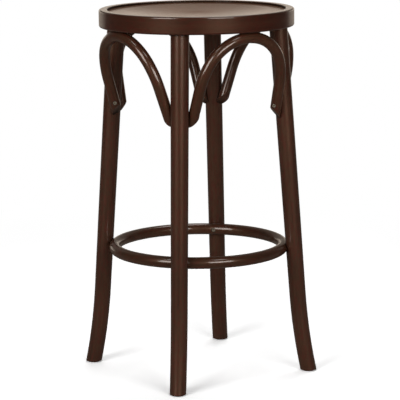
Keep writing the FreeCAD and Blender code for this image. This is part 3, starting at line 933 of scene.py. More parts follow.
def contact_shade(spots: np.ndarray, rods: Sequence[Rod], reach: float) -> np.ndarray:
    """Give how much painted shade falls at some places beside rods that touch the piece.

    Args:
        spots: The places, one to a row.
        rods: The middle line and the radius of each rod.
        reach: How far from a rod the painted shade goes.

    Returns:
        A share from 0 to 1 for each place.
    """
    soil = np.zeros(len(spots))
    for path, radius in rods:
        tree = search_tree(path.points)
        gap = np.array([tree.find(Vector(spot))[2] for spot in spots]) - radius
        soil = np.maximum(soil, 1.0 - np.clip(gap / reach, 0.0, 1.0))
    return soil


def under(spots: np.ndarray, height: float, reach: float) -> np.ndarray:
    """Give how much painted shade falls just under a height, from 0 to 1."""
    return np.clip(1.0 - (height - spots[:, 2]) / reach, 0.0, 1.0)


@dataclass(frozen=True)
class Fastener:
    """Where one screw or nail sits.

    Attributes:
        head: The middle of its head's face.
        facing: The unit direction that the head faces.
    """

    head: Vector
    facing: Vector

    def turned(self, degrees: float) -> "Fastener":
        """Give the same fastener, turned about the upright axis."""
        turn = turn_about_z(degrees)
        return Fastener(turn @ self.head, turn @ self.facing)


class Workshop:
    """What the sub-assemblies share: the two shape trees and a material for each finish."""

    def __init__(self) -> None:
        """Build the trees and the materials."""
        self.rods = rod_tree()
        self.fasteners = fastener_tree()
        self.materials = {finish.slot: finish.material() for finish in FINISHES}

    def rod(
        self, path: RodPath, name: str, finish: Finish, foot: float, head: float, sides: int = ROD_SIDES
    ) -> bpy.types.Mesh:
        """Sweep a rod along a line.

        Args:
            path: The rod's middle line.
            name: The mesh's name.
            finish: The wood.
            foot: The rod's radius at its first point.
            head: Its radius at its last point.
            sides: The sides of its section.

        Returns:
            The rod's mesh.
        """
        wood = self.materials[finish.slot]
        mesh = self.rods.run(path.carrier(), name, foot=foot, head=head, sides=sides, wood=wood)
        close_up(opened(mesh), mesh)
        return mesh

    def set_out(
        self,
        places: Sequence[Fastener],
        one: bpy.types.Mesh,
        name: str,
        finish: Finish,
        node: str,
        spin: float,
    ) -> None:
        """Set a copy of one fastener at each place, and dress them as one piece.

        Args:
            places: The fasteners' places.
            one: The mesh of one, its head's face at the origin and facing +Z.
            name: The piece's name.
            finish: The steel.
            node: The CAD node that it stands for.
            spin: The most that one may be spun about its own axis, in radians.
        """
        points = bpy.data.meshes.new("fastener_points")
        points.from_pydata([tuple(place.head) for place in places], [], [])
        paint(points, FACING, np.array([tuple(place.facing) for place in places]))
        sample = shown(one, name + "_sample")
        steel = self.materials[finish.slot]
        mesh = self.fasteners.run(points, name, fastener=sample, spin=spin, seed=SEED, steel=steel)
        bpy.data.objects.remove(sample)
        self.dress(mesh, name, finish, node)

    def dress(
        self, mesh: bpy.types.Mesh, name: str, finish: Finish, node: str, **layers: np.ndarray
    ) -> None:
        """Finish a piece: its shading, attributes, material, body, CAD node and slot.

        Args:
            mesh: The piece's mesh.
            name: The piece's name.
            finish: What it is made of.
            node: The CAD node that it stands for.
            **layers: For each vertex its grain (across, across and along the fibres), its painted shade
                with a little built-up stain, or its wear (how far the lacquer is rubbed off).
        """
        mesh.name = name
        mesh.materials.clear()
        mesh.materials.append(self.materials[finish.slot])
        mesh.polygons.foreach_set("material_index", [0] * len(mesh.polygons))
        mesh.shade_smooth()
        mesh.set_sharp_from_angle(angle=CREASE)
        for label, values in layers.items():
            paint(mesh, label, values)
        piece = shown(mesh, name)
        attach(piece, BODY)
        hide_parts(node)
        log.info("%s: %d faces, for %s", name, len(mesh.polygons), node)


@dataclass(frozen=True)
class Screws:
    """Countersunk screws with a cross recess, and the holes that they sit in.

    Attributes:
        head_radius: The radius of the head's face.
        shank_radius: The radius of the shank.
        tip: The length of the point.
        recess_width: The width of each arm of the cross.
        recess_span: The span of the cross.
        recess_depth: Its depth.
        recess_taper: How wide the cross is at its floor, as a share of its width at the face.
        sink: How far the heads sit under the wood's surface.
        clearance: The room round a screw in its hole.
        steps: The steps round a screw.
        clean: The share of the head's radius where the ring of residue and painted shade begins.
        residue_and_shade_width: The share of the head's radius over which it deepens.
    """

    head_radius: float = 4 * MM
    shank_radius: float = 2 * MM
    tip: float = 4 * MM
    recess_width: float = 1.1 * MM
    recess_span: float = 4.4 * MM
    recess_depth: float = 1.6 * MM
    recess_taper: float = 0.72
    sink: float = 0.8 * MM
    clearance: float = 0.1 * MM
    steps: int = 40
    clean: float = 0.6
    residue_and_shade_width: float = 0.15

    def one(self, length: float) -> bpy.types.Mesh:
        """Build one screw, its head's face at the origin and its point down.

        Args:
            length: Its whole length.

        Returns:
            The screw's mesh.
        """
        turning = lathe("screw", rounded([
            (0, 0, 0),
            (0.55 * self.head_radius, 0, 0),
            (0.75 * self.head_radius, 0, 0),
            (self.head_radius, 0, 0.15 * MM),
            (self.shank_radius, self.shank_radius - self.head_radius, 0.2 * MM),
            (self.shank_radius, self.tip - length, 0),
            (0, -length, 0),
        ], 3), self.steps)
        arms = []
        for width, span in ((self.recess_width, self.recess_span), (self.recess_span, self.recess_width)):
            shape = bmesh.new()
            for vert in bmesh.ops.create_cube(shape, size=1.0)["verts"]:
                sign, share = (1, 1.0) if vert.co.z > 0 else (-1, self.recess_taper)
                across = (vert.co.x * width * share, vert.co.y * span * share)
                vert.co = Vector((*across, sign * self.recess_depth))
            arms.append(mesh_from(shape, "recess_arm"))
        mesh = carve(turning, arms)
        spots = vertices_of(mesh)
        radius = np.hypot(spots[:, 0], spots[:, 1])
        # A dark ring of lacquer residue and painted shade round the head's edge, and painted shade in the
        # cross recess.
        edge = np.clip((radius / self.head_radius - self.clean) / self.residue_and_shade_width, 0.0, 1.0)
        deep = (spots[:, 2] < -0.2 * MM) & (radius < self.recess_span / 2)
        paint(mesh, SHADE_AND_STAIN, np.maximum(edge, deep))
        return mesh

    def hole(self, place: Fastener, length: float) -> bpy.types.Mesh:
        """Build the space that one screw needs, open above its head.

        Args:
            place: Where the screw sits.
            length: The screw's length.

        Returns:
            The space as a closed mesh.
        """
        head = self.head_radius + self.clearance
        shank = self.shank_radius + self.clearance
        outline = [
            (0, 3 * self.sink),
            (head, 3 * self.sink),
            (head, 0),
            (shank, shank - head),
            (shank, -length),
            (0, -length - MM),
        ]
        mesh = lathe("screw_hole", outline, self.steps)
        turn = UP.rotation_difference(place.facing).to_matrix().to_4x4()
        mesh.transform(Matrix.Translation(place.head) @ turn)
        return mesh


@dataclass(frozen=True)
class SeatRim:
    """The bent rim: an upright band with a rebate for the panel and sockets for the legs.

    Attributes:
        outer: Its outer radius.
        opening: The radius inside its top edge.
        bore: The radius of its bore, under the panel.
        top: The height of its top.
        underside: The height of its underside.
        rebate: The height of the rebate's floor.
        outer_rounding: The rounding of its outer edges.
        inner_rounding: The rounding of its inner edges.
        steps: The steps round it.
    """

    outer: float = 175 * MM
    opening: float = 160 * MM
    bore: float = 132 * MM
    top: float = 660 * MM
    underside: float = RIM_UNDERSIDE
    rebate: float = 648 * MM
    outer_rounding: float = 3 * MM
    inner_rounding: float = 1.5 * MM
    steps: int = 288

    def build(self, shop: Workshop, holes: Sequence[bpy.types.Mesh]) -> None:
        """Turn the rim, cut its sockets and holes, and dress it.

        Args:
            shop: The shared trees and materials.
            holes: The spaces of the tenons and screws that enter it.
        """
        outline = rounded([
            (self.bore, self.underside, self.inner_rounding),
            (self.outer, self.underside, self.outer_rounding),
            (self.outer, self.top, self.outer_rounding),
            (self.opening, self.top, self.inner_rounding),
            (self.opening, self.rebate, 0),
            (self.bore, self.rebate, 0),
        ])
        mesh = carve(lathe("seat_rim_band", outline, self.steps), holes)
        spots = vertices_of(mesh)
        angle = np.arctan2(spots[:, 1], spots[:, 0])
        radius = np.hypot(spots[:, 0], spots[:, 1])
        grain = np.stack((radius, spots[:, 2], np.abs(angle) * self.outer), axis=1)
        # Painted shade on the rebate's inner wall under the top edge, where the groove lies in shadow.
        wall = self.top - 0.3 * self.inner_rounding
        soil = (radius < self.opening + 0.1 * MM) & (spots[:, 2] < wall)
        shop.dress(mesh, "seat_rim_band", RIM_WOOD, "seat_rim", grain=grain, soil=soil)


@dataclass(frozen=True)
class SeatPanel:
    """The seat panel: a thin moulded board, flat at its border and dished in the middle.

    Attributes:
        radius: Its outer radius.
        top: The height of its border's top.
        thickness: Its thickness.
        dish_radius: The radius of the dished part.
        dish: How deep the dish is.
        rounding: The rounding of its upper edge.
        grain_turn: The direction of its face veneer, in degrees from +X.
        rubbed: How far the lacquer is rubbed off in its middle, from 0 to 1.
        rubbed_border: How far it is rubbed off at its border.
        steps: The steps round it.
        dish_steps: The steps from the middle of the dish to its edge.
    """

    radius: float = 159.7 * MM
    top: float = 656 * MM
    thickness: float = 8 * MM
    dish_radius: float = 130 * MM
    dish: float = 3 * MM
    rounding: float = 1 * MM
    grain_turn: float = 45.0
    rubbed: float = 0.82
    rubbed_border: float = 0.05
    steps: int = 240
    dish_steps: int = 24

    def dish_outline(self, level: float) -> Outline:
        """Give the hollow from the middle of the dish to its edge.

        Args:
            level: The height of the border that the dish starts from.

        Returns:
            Points of radius and height.
        """
        bend = (self.dish_radius ** 2 + self.dish ** 2) / (2 * self.dish)
        radii = [self.dish_radius * step / self.dish_steps for step in range(self.dish_steps + 1)]
        return [(r, level - self.dish + bend - math.sqrt(bend ** 2 - r ** 2)) for r in radii]

    def build(self, shop: Workshop) -> None:
        """Turn the panel and dress it.

        Args:
            shop: The shared trees and materials.
        """
        below = self.top - self.thickness
        edge = rounded([
            (self.radius, below, 0),
            (self.radius, self.top, self.rounding),
            (self.dish_radius, self.top, 0),
        ], 4)
        outline = self.dish_outline(below) + edge[:-1] + self.dish_outline(self.top)[::-1]
        mesh = lathe("seat_panel_board", outline, self.steps)
        spots = vertices_of(mesh) @ np.array(turn_about_z(self.grain_turn))
        away = np.clip(np.hypot(spots[:, 0], spots[:, 1]) / self.dish_radius, 0.0, 1.0)
        wear = self.rubbed - (self.rubbed - self.rubbed_border) * away
        grain = spots[:, [1, 2, 0]]
        shop.dress(mesh, "seat_panel_board", PANEL_WOOD, "seat_panel", grain=grain, wear=wear)


@dataclass(frozen=True)
class Legs:
    """Four round tapered legs that lean out and flare at the foot.

    Attributes:
        shoulder: The height where a leg meets the rim.
        shoulder_radius: How far out its middle is there.
        lean: Its lean, in degrees.
        knee: The height where its flare begins.
        bend: The radius of the flare.
        sole: The height of its sole, on the glide.
        head_radius: The rod's radius at its head.
        foot_radius: The rod's radius at its foot.
        tenon_radius: The radius of its tenon.
        tenon_length: How far the tenon goes up into the rim.
        tenon_root: How far the tenon's root goes down into the rod.
        tenon_room: The room round the tenon in its socket.
        sole_rounding: The rounding of the sole's edge.
        overrun: How far the blank goes under the floor before it is sawn.
        flare_step: The length of each straight piece of the flare.
        shaft_step: The length of each straight piece above it.
        stain: How far the painted shade goes from a joint.
        shade_below_rim: How far the painted shade goes down from the rim.
        plank: How far along the plank the next leg's grain is, for each degree of turn.
    """

    shoulder: float = RIM_UNDERSIDE
    shoulder_radius: float = 148 * MM
    lean: float = 4.0
    knee: float = 145 * MM
    bend: float = 1050 * MM
    sole: float = 2 * MM
    head_radius: float = 16.25 * MM
    foot_radius: float = 14.5 * MM
    tenon_radius: float = 10 * MM
    tenon_length: float = 15 * MM
    tenon_root: float = 6 * MM
    tenon_room: float = 0.15 * MM
    sole_rounding: float = 1 * MM
    overrun: float = 7.25 * MM
    flare_step: float = 4 * MM
    shaft_step: float = 5 * MM
    stain: float = 3 * MM
    shade_below_rim: float = 4 * MM
    plank: float = 0.1

    def path(self, corner: Corner) -> RodPath:
        """Give a leg's middle line, from its foot to its head.

        Args:
            corner: Which leg.

        Returns:
            The line.
        """
        lean = math.radians(self.lean)
        slope = math.tan(lean)
        knee = (self.shoulder_radius + (self.shoulder - self.knee) * slope, self.knee)
        centre = (knee[0] + self.bend * math.cos(lean), knee[1] + self.bend * math.sin(lean))
        first = math.pi + math.asin((centre[1] + self.overrun) / self.bend)
        flare = list(arc_points(centre, self.bend, first, math.pi + lean, self.flare_step))
        head = (self.shoulder_radius - self.tenon_length * slope, self.shoulder + self.tenon_length)
        shaft = line_points(knee, head, self.shaft_step)
        points = np.array([(0.0, -radius, height) for radius, height in flare + shaft])
        return RodPath(points, np.array((1.0, 0.0, 0.0))).turned(turn_about_z(corner.value))

    def tenon(self, corner: Corner, room: float) -> bpy.types.Mesh:
        """Give a leg's tenon, or the socket that it needs.

        Args:
            corner: Which leg.
            room: The room round it and at its end: none for the tenon itself.

        Returns:
            A closed cylinder.
        """
        reach = (self.tenon_length + (MM if room else 0.0)) / math.cos(math.radians(self.lean))
        radius = self.tenon_radius + room
        root = -self.tenon_root
        mesh = lathe("tenon", [(0, root), (radius, root), (radius, reach), (0, reach)], ROD_SIDES)
        lean = Matrix.Rotation(math.radians(-self.lean), 4, "X")
        foot = Matrix.Translation((0, -self.shoulder_radius, self.shoulder))
        mesh.transform(turn_about_z(corner.value).to_4x4() @ foot @ lean)
        return mesh

    def build(
        self,
        shop: Workshop,
        notch: bpy.types.Mesh,
        holes: dict[Corner, list[bpy.types.Mesh]],
        beside: dict[Corner, list[Rod]],
    ) -> None:
        """Bend, saw, notch and dress the four legs.

        Args:
            shop: The shared trees and materials.
            notch: The space of the foot ring.
            holes: The spaces of the screws and nails that enter each leg.
            beside: The middle line and radius of the rods that touch each leg.
        """
        for corner in Corner:
            node = f"leg_{corner.name.lower()}"
            path = self.path(corner)
            mesh = shop.rod(path, node + "_rod", LEG_WOOD, self.foot_radius, self.head_radius, LEG_SIDES)
            saw(mesh, UP * self.shoulder, UP)
            saw(mesh, UP * self.sole, DOWN, self.sole_rounding)
            mesh = carve(mesh, [self.tenon(corner, 0.0)], join=True)
            mesh = carve(mesh, [notch.copy(), *holes[corner]])
            spots = vertices_of(mesh)
            grain = path.grain_at(spots) + np.array((0.0, 0.0, corner.value * self.plank))
            # Painted shade where the ring and the arches touch the leg, and just under the rim.
            soil = np.maximum(
                contact_shade(spots, beside[corner], self.stain),
                under(spots, self.shoulder, self.shade_below_rim),
            )
            shop.dress(mesh, node + "_rod", LEG_WOOD, node, grain=grain, soil=soil)


@dataclass(frozen=True)
class FootRing:
    """One round rod bent into a full circle, screwed to the legs from inside.

    Attributes:
        radius: The radius of its middle line.
        height: The height of its middle line.
        rod_radius: The rod's radius.
        room: The room round it in each leg's notch.
        stain: How far the painted shade goes from a leg.
        steps: The steps round it.
    """

    radius: float = 153.317 * MM
    height: float = 226.5 * MM
    rod_radius: float = 10.5 * MM
    room: float = 0.15 * MM
    stain: float = 3 * MM
    steps: int = 320

    def path(self) -> RodPath:
        """Give the ring's middle line.

        Returns:
            The line.
        """
        angles = np.arange(self.steps) * (2 * math.pi / self.steps)
        spots = (self.radius * np.cos(angles), self.radius * np.sin(angles))
        points = np.stack((*spots, np.full_like(angles, self.height)), axis=1)
        return RodPath(points, np.array((0.0, 0.0, 1.0)), True)

    def space(self, shop: Workshop) -> bpy.types.Mesh:
        """Give the space that the ring needs in the legs."""
        around = self.rod_radius + self.room
        return shop.rod(self.path(), "ring_space", RING_WOOD, around, around)

    def build(self, shop: Workshop, holes: Sequence[bpy.types.Mesh], beside: Sequence[Rod]) -> None:
        """Bend the ring, drill it and dress it.

        Args:
            shop: The shared trees and materials.
            holes: The spaces of its screws.
            beside: The middle line and radius of each leg.
        """
        path = self.path()
        mesh = shop.rod(path, "foot_ring_rod", RING_WOOD, self.rod_radius, self.rod_radius)
        mesh = carve(mesh, holes)
        spots = vertices_of(mesh)
        # Painted shade where the ring touches the legs.
        soil = contact_shade(spots, beside, self.stain)
        grain = path.grain_at(spots)
        shop.dress(mesh, "foot_ring_rod", RING_WOOD, "foot_ring", grain=grain, soil=soil)


@dataclass(frozen=True)
class Arches:
    """Four bent rods under the rim, each with a crown, two shoulders and two limbs.

    A line's sizes are in its own tilted plane: how far to the side, and how far down.

    Attributes:
        top_radius: How far out the top of the middle line is.
        top_height: Its height.
        lean: The lean of the arch's plane, in degrees.
        crown: The radius of the crown.
        half_crown: Half of the crown's angle, in degrees.
        shoulder: The radius of each shoulder.
        splay: The splay of each limb, in degrees.
        joint_side: How far to the side a limb's middle is at the joint.
        joint_fall: How far down the joint is.
        rod_radius: The rod's radius.
        bevel_offset: How far under the joint a limb's bevel begins.
        bevel_ease: The width of the bevel's eased edge.
        leg_room: The gap between a limb and its leg.
        step: The length of each straight piece of the middle line.
        stain: How far the painted shade goes from a leg.
        shade_below_rim: How far the painted shade goes down from the rim.
        plank: How far along the plank the next arch's grain is, for each degree of turn.
        plank_start: How far along it the first arch's grain is.
    """

    top_radius: float = 163.5 * MM
    top_height: float = 620 * MM
    lean: float = 18.1
    crown: float = 81.25 * MM
    half_crown: float = 64.5
    shoulder: float = 120 * MM
    splay: float = 3.3
    joint_side: float = 87.434 * MM
    joint_fall: float = 136.24 * MM
    rod_radius: float = 9.9 * MM
    bevel_offset: float = 4 * MM
    bevel_ease: float = 0.4 * MM
    leg_room: float = 0.2 * MM
    step: float = 3 * MM
    stain: float = 2.5 * MM
    shade_below_rim: float = 3 * MM
    plank: float = 0.1
    plank_start: float = 2.0

    def placing(self, side: Side) -> tuple[Matrix, Vector]:
        """Give the turn and the move that put an arch in its place.

        Args:
            side: Which arch.

        Returns:
            The turn, then the move.
        """
        turn = turn_about_z(side.value)
        lean = Matrix.Rotation(math.radians(self.lean), 3, "X")
        return turn @ lean, turn @ Vector((0, -self.top_radius, self.top_height))

    def path(self, side: Side) -> RodPath:
        """Give an arch's middle line, from one end to the other.

        Args:
            side: Which arch.

        Returns:
            The line.
        """
        half = math.radians(self.half_crown)
        splay = math.radians(self.splay)
        up = math.pi / 2
        reach = self.crown - self.shoulder
        hinge = (reach * math.sin(half), -self.crown + reach * math.cos(half))
        spare = self.bevel_offset + 4 * self.rod_radius
        tip = (self.joint_side + spare * math.tan(splay), -self.joint_fall - spare)
        crown = list(arc_points((0.0, -self.crown), self.crown, up, up - half, self.step))
        shoulder = list(arc_points(hinge, self.shoulder, up - half, splay, self.step))[1:]
        right = crown + shoulder + line_points(shoulder[-1], tip, self.step)
        left = [(-across, rise) for across, rise in right[:0:-1]]
        points = np.array([(across, 0.0, rise) for across, rise in left + right])
        return RodPath(points, np.array((0.0, 1.0, 0.0))).turned(*self.placing(side))

    def contact(self, side: Side) -> RodPath:
        """Give an arch's middle line without the lengths that the bevels take off.

        Args:
            side: Which arch.

        Returns:
            The line.
        """
        path = self.path(side)
        spare = round(3 * self.rod_radius / self.step)
        return RodPath(path.points[spare:-spare], path.across)

    def build(self, shop: Workshop, legs: Legs, holes: dict[Side, list[bpy.types.Mesh]]) -> None:
        """Bend, plane, bevel, cope and dress the four arches.

        Args:
            shop: The shared trees and materials.
            legs: The legs that the limbs are coped to.
            holes: The spaces of each arch's screws.
        """
        foot = legs.foot_radius + self.leg_room
        head = legs.head_radius + self.leg_room
        rise = -self.joint_fall - self.bevel_offset - self.rod_radius
        for side in Side:
            node = f"arch_{side.name.lower()}"
            path = self.path(side)
            mesh = shop.rod(path, node + "_rod", ARCH_WOOD, self.rod_radius, self.rod_radius)
            turn, move = self.placing(side)
            saw(mesh, UP * RIM_UNDERSIDE, UP)
            for sign in (1, -1):
                at = turn @ Vector((sign * self.joint_side, 0, rise)) + move
                away = turn @ Vector((-sign, 0, -1)).normalized()
                saw(mesh, at, away, self.bevel_ease, 6 * self.rod_radius)
            lines = [legs.path(corner) for corner in neighbours(side, Corner)]
            spaces = [shop.rod(line, "leg_space", LEG_WOOD, foot, head, LEG_SIDES) for line in lines]
            mesh = carve(mesh, spaces + holes[side])
            spots = vertices_of(mesh)
            start = self.plank_start + side.value * self.plank
            grain = path.grain_at(spots) + np.array((0.0, 0.0, start))
            # Painted shade where the limbs touch the legs, and just under the rim.
            soil = np.maximum(
                contact_shade(spots, [(line, legs.head_radius) for line in lines], self.stain),
                under(spots, RIM_UNDERSIDE, self.shade_below_rim),
            )
            shop.dress(mesh, node + "_rod", ARCH_WOOD, node, grain=grain, soil=soil)


@dataclass(frozen=True)
class Glides:
    """Four plastic discs under the feet, each with a nail sunk in its middle.

    Attributes:
        place: How far out the middle of each is.
        radius: The disc's radius.
        thickness: Its thickness.
        rounding: The rounding of its lower edge.
        fine_rounding: The rounding of its other edges.
        well: The radius of the well that hides the nail's head.
        bore: The radius of the nail's bore.
        step: The height of the well.
        nail_head: The radius of the nail's head.
        nail_rounding: The rounding of the head.
        nail_radius: The radius of its shank.
        nail_sink: How far up its head sits.
        nail_length: The height of its point.
        disc_steps: The steps round a disc.
        nail_steps: The steps round a nail.
        bore_steps: The steps round its bore in the sole.
    """

    place: float = 201.796 * MM
    radius: float = 11 * MM
    thickness: float = 2 * MM
    rounding: float = 0.5 * MM
    fine_rounding: float = 0.2 * MM
    well: float = 3.6 * MM
    bore: float = 1.35 * MM
    step: float = 1 * MM
    nail_head: float = 3.5 * MM
    nail_rounding: float = 0.3 * MM
    nail_radius: float = 1.25 * MM
    nail_sink: float = 0.3 * MM
    nail_length: float = 18 * MM
    disc_steps: int = 64
    nail_steps: int = 32
    bore_steps: int = 24

    def spot(self, corner: Corner) -> Vector:
        """Give the middle of a foot on the floor."""
        return turn_about_z(corner.value) @ Vector((0, -self.place, 0))

    def nail_hole(self, corner: Corner) -> bpy.types.Mesh:
        """Give the bore that a nail needs in the sole of a leg.

        Args:
            corner: Which leg.

        Returns:
            The bore as a closed mesh.
        """
        end = self.nail_length + MM
        outline = [(0, 0), (self.bore, 0), (self.bore, end), (0, end)]
        mesh = lathe("nail_hole", outline, self.bore_steps)
        mesh.transform(Matrix.Translation(self.spot(corner)))
        return mesh

    def build(self, shop: Workshop) -> None:
        """Mould the discs, set the nails and dress them.

        Args:
            shop: The shared trees and materials.
        """
        disc = rounded([
            (self.bore, self.thickness, 0),
            (self.radius, self.thickness, self.fine_rounding),
            (self.radius, 0, self.rounding),
            (self.well, 0, self.fine_rounding),
            (self.well, self.step, 0),
            (self.bore, self.step, 0),
        ], 4)
        for corner in Corner:
            node = f"glide_{corner.name.lower()}"
            mesh = lathe(node, disc, self.disc_steps)
            mesh.transform(Matrix.Translation(self.spot(corner)))
            shop.dress(mesh, node + "_disc", GLIDE_PLASTIC, node)
        head_top = self.step - self.nail_sink
        tip = self.nail_length - self.nail_sink
        nail = lathe("nail", rounded([
            (0, 0, 0),
            (self.nail_head, 0, self.nail_rounding),
            (self.nail_head, head_top, 0),
            (self.nail_radius, head_top, 0),
            (self.nail_radius, tip - 2 * self.nail_radius, 0),
            (0, tip, 0),
        ], 3), self.nail_steps)
        places = [Fastener(self.spot(corner) + UP * self.nail_sink, UP) for corner in Corner]
        shop.set_out(places, nail, "glide_nail_set", NAIL_STEEL, "glide_nails", 0.0)


@dataclass(frozen=True)
class Fixings:
    """Every screw of the stool, grouped by joint.

    Attributes:
        screws: The kind of screw that all of them are.
        ring_length: The length of the foot ring's screws.
        tenon_length: The length of the tenons' screws.
        top_length: The length of the screws in the arches' crowns.
        end_length: The length of the screws in the limbs' ends.
        end_turn: How far the limbs' screws turn from the arch's own plane, in degrees.
    """

    screws: Screws = Screws()
    ring_length: float = 35 * MM
    tenon_length: float = 22 * MM
    top_length: float = 30 * MM
    end_length: float = 30 * MM
    end_turn: float = 30.0

    def inside(self, radius: float, height: float, corner: Corner) -> Fastener:
        """Give the screw that is driven out to a corner, from a wall's radius and a height."""
        head = Vector((0, -radius - self.screws.sink, height))
        return Fastener(head, Vector((0, 1, 0))).turned(corner.value)

    def top_screw(self, arches: Arches, side: Side) -> Fastener:
        """Give the screw that goes up through an arch's crown into the rim."""
        height = arches.top_height - arches.rod_radius + self.screws.sink
        return Fastener(Vector((0, -arches.top_radius, height)), DOWN).turned(side.value)

    def end_screws(self, arches: Arches, side: Side) -> list[Fastener]:
        """Give the two screws that hold an arch's limbs to its legs.

        Args:
            arches: The arches.
            side: Which arch.

        Returns:
            The screw of the right limb, then that of the left.
        """
        lean = math.radians(arches.lean)
        out = arches.top_radius - arches.joint_fall * math.sin(lean)
        height = arches.top_height - arches.joint_fall * math.cos(lean)
        bend = math.radians(self.end_turn)
        places = []
        for sign in (1, -1):
            facing = Vector((-sign * math.cos(bend), -math.sin(bend), 0))
            head = Vector((sign * arches.joint_side, -out, height))
            head += facing * (arches.rod_radius - self.screws.sink)
            places.append(Fastener(head, facing).turned(side.value))
        return places

    def build(self, shop: Workshop, groups: dict[str, tuple[float, Sequence[Fastener]]]) -> None:
        """Set and dress every screw.

        Args:
            shop: The shared trees and materials.
            groups: For each CAD node, the length of its screws and their places.
        """
        for node, (length, places) in groups.items():
            name = node.removesuffix("s") + "_set"
            one = self.screws.one(length)
            shop.set_out(places, one, name, SCREW_STEEL, node, math.pi / 2)


@dataclass(frozen=True)
class Stool:
    """The whole stool: its sub-assemblies, and the joints between them."""

    rim: SeatRim = SeatRim()
    panel: SeatPanel = SeatPanel()
    legs: Legs = Legs()
    ring: FootRing = FootRing()
    arches: Arches = Arches()
    glides: Glides = Glides()
    fixings: Fixings = Fixings()

    def build(self, shop: Workshop) -> None:
        """Build every piece with the holes that its neighbours need.

        Args:
            shop: The shared trees and materials.
        """
        fixings = self.fixings
        hole = fixings.screws.hole
        ring_wall = self.ring.radius - self.ring.rod_radius
        tenon_middle = self.rim.underside + self.legs.tenon_length / 2
        ring = {c: fixings.inside(ring_wall, self.ring.height, c) for c in Corner}
        tenon = {c: fixings.inside(self.rim.bore, tenon_middle, c) for c in Corner}
        top = {s: fixings.top_screw(self.arches, s) for s in Side}
        ends = {s: fixings.end_screws(self.arches, s) for s in Side}
        rim_holes = [self.legs.tenon(corner, self.legs.tenon_room) for corner in Corner]
        rim_holes += [hole(place, fixings.tenon_length) for place in tenon.values()]
        rim_holes += [hole(place, fixings.top_length) for place in top.values()]
        self.rim.build(shop, rim_holes)
        self.panel.build(shop)
        leg_rods = [(self.legs.path(corner), self.legs.foot_radius) for corner in Corner]
        self.ring.build(shop, [hole(place, fixings.ring_length) for place in ring.values()], leg_rods)
        leg_holes = {}
        beside = {}
        for corner in Corner:
            right_side, left_side = neighbours(corner, Side)
            beside[corner] = [(self.ring.path(), self.ring.rod_radius)] + [
                (self.arches.contact(side), self.arches.rod_radius) for side in (right_side, left_side)
            ]
            leg_holes[corner] = [
                hole(ring[corner], fixings.ring_length),
                hole(tenon[corner], fixings.tenon_length),
                hole(ends[right_side][1], fixings.end_length),
                hole(ends[left_side][0], fixings.end_length),
                self.glides.nail_hole(corner),
            ]
        self.legs.build(shop, self.ring.space(shop), leg_holes, beside)
        arch_holes = {
            side: [hole(top[side], fixings.top_length)]
            + [hole(place, fixings.end_length) for place in ends[side]]
            for side in Side
        }
        self.arches.build(shop, self.legs, arch_holes)
        self.glides.build(shop)
        fixings.build(shop, {
            "foot_ring_screws": (fixings.ring_length, list(ring.values())),
            "tenon_screws": (fixings.tenon_length, list(tenon.values())),
            "arch_top_screws": (fixings.top_length, list(top.values())),
            "arch_end_screws": (fixings.end_length, [p for pair in ends.values() for p in pair]),
        })


@dataclass(frozen=True)
class SoftBox:
    """A plain soft studio lamp.

    Attributes:
        azimuth: Where it stands, in degrees from the camera's own azimuth towards the right.
        distance: How far from the stool's axis it stands.
        height: The height of its middle.
        size: Its width and height.
        radiance: How bright its face is, where a white surface in full light is 1.
        glint: Whether it shows in the lacquer alone and gives the wood under it no light.
    """

    azimuth: float
    distance: float
    height: float
    size: Span
    radiance: float
    glint: bool = False

    def build(self, name: str, turn: float, target: Vector) -> None:
        """Put the lamp in the scene.

        Args:
            name: Its name.
            turn: The camera's azimuth, in degrees.
            target: What it points at.
        """
        lamp = bpy.data.lights.new(name, "AREA")
        lamp.shape = "RECTANGLE"
        lamp.size, lamp.size_y = self.size
        lamp.energy = self.radiance * math.pi * self.size[0] * self.size[1]
        thing = bpy.data.objects.new(name, lamp)
        bpy.context.scene.collection.objects.link(thing)
        place = Vector((0, -self.distance, self.height))
        thing.location = turn_about_z(turn + self.azimuth) @ place
        thing.rotation_euler = (target - thing.location).to_track_quat("-Z", "Y").to_euler()
        thing.visible_camera = False
        thing.visible_diffuse = not self.glint


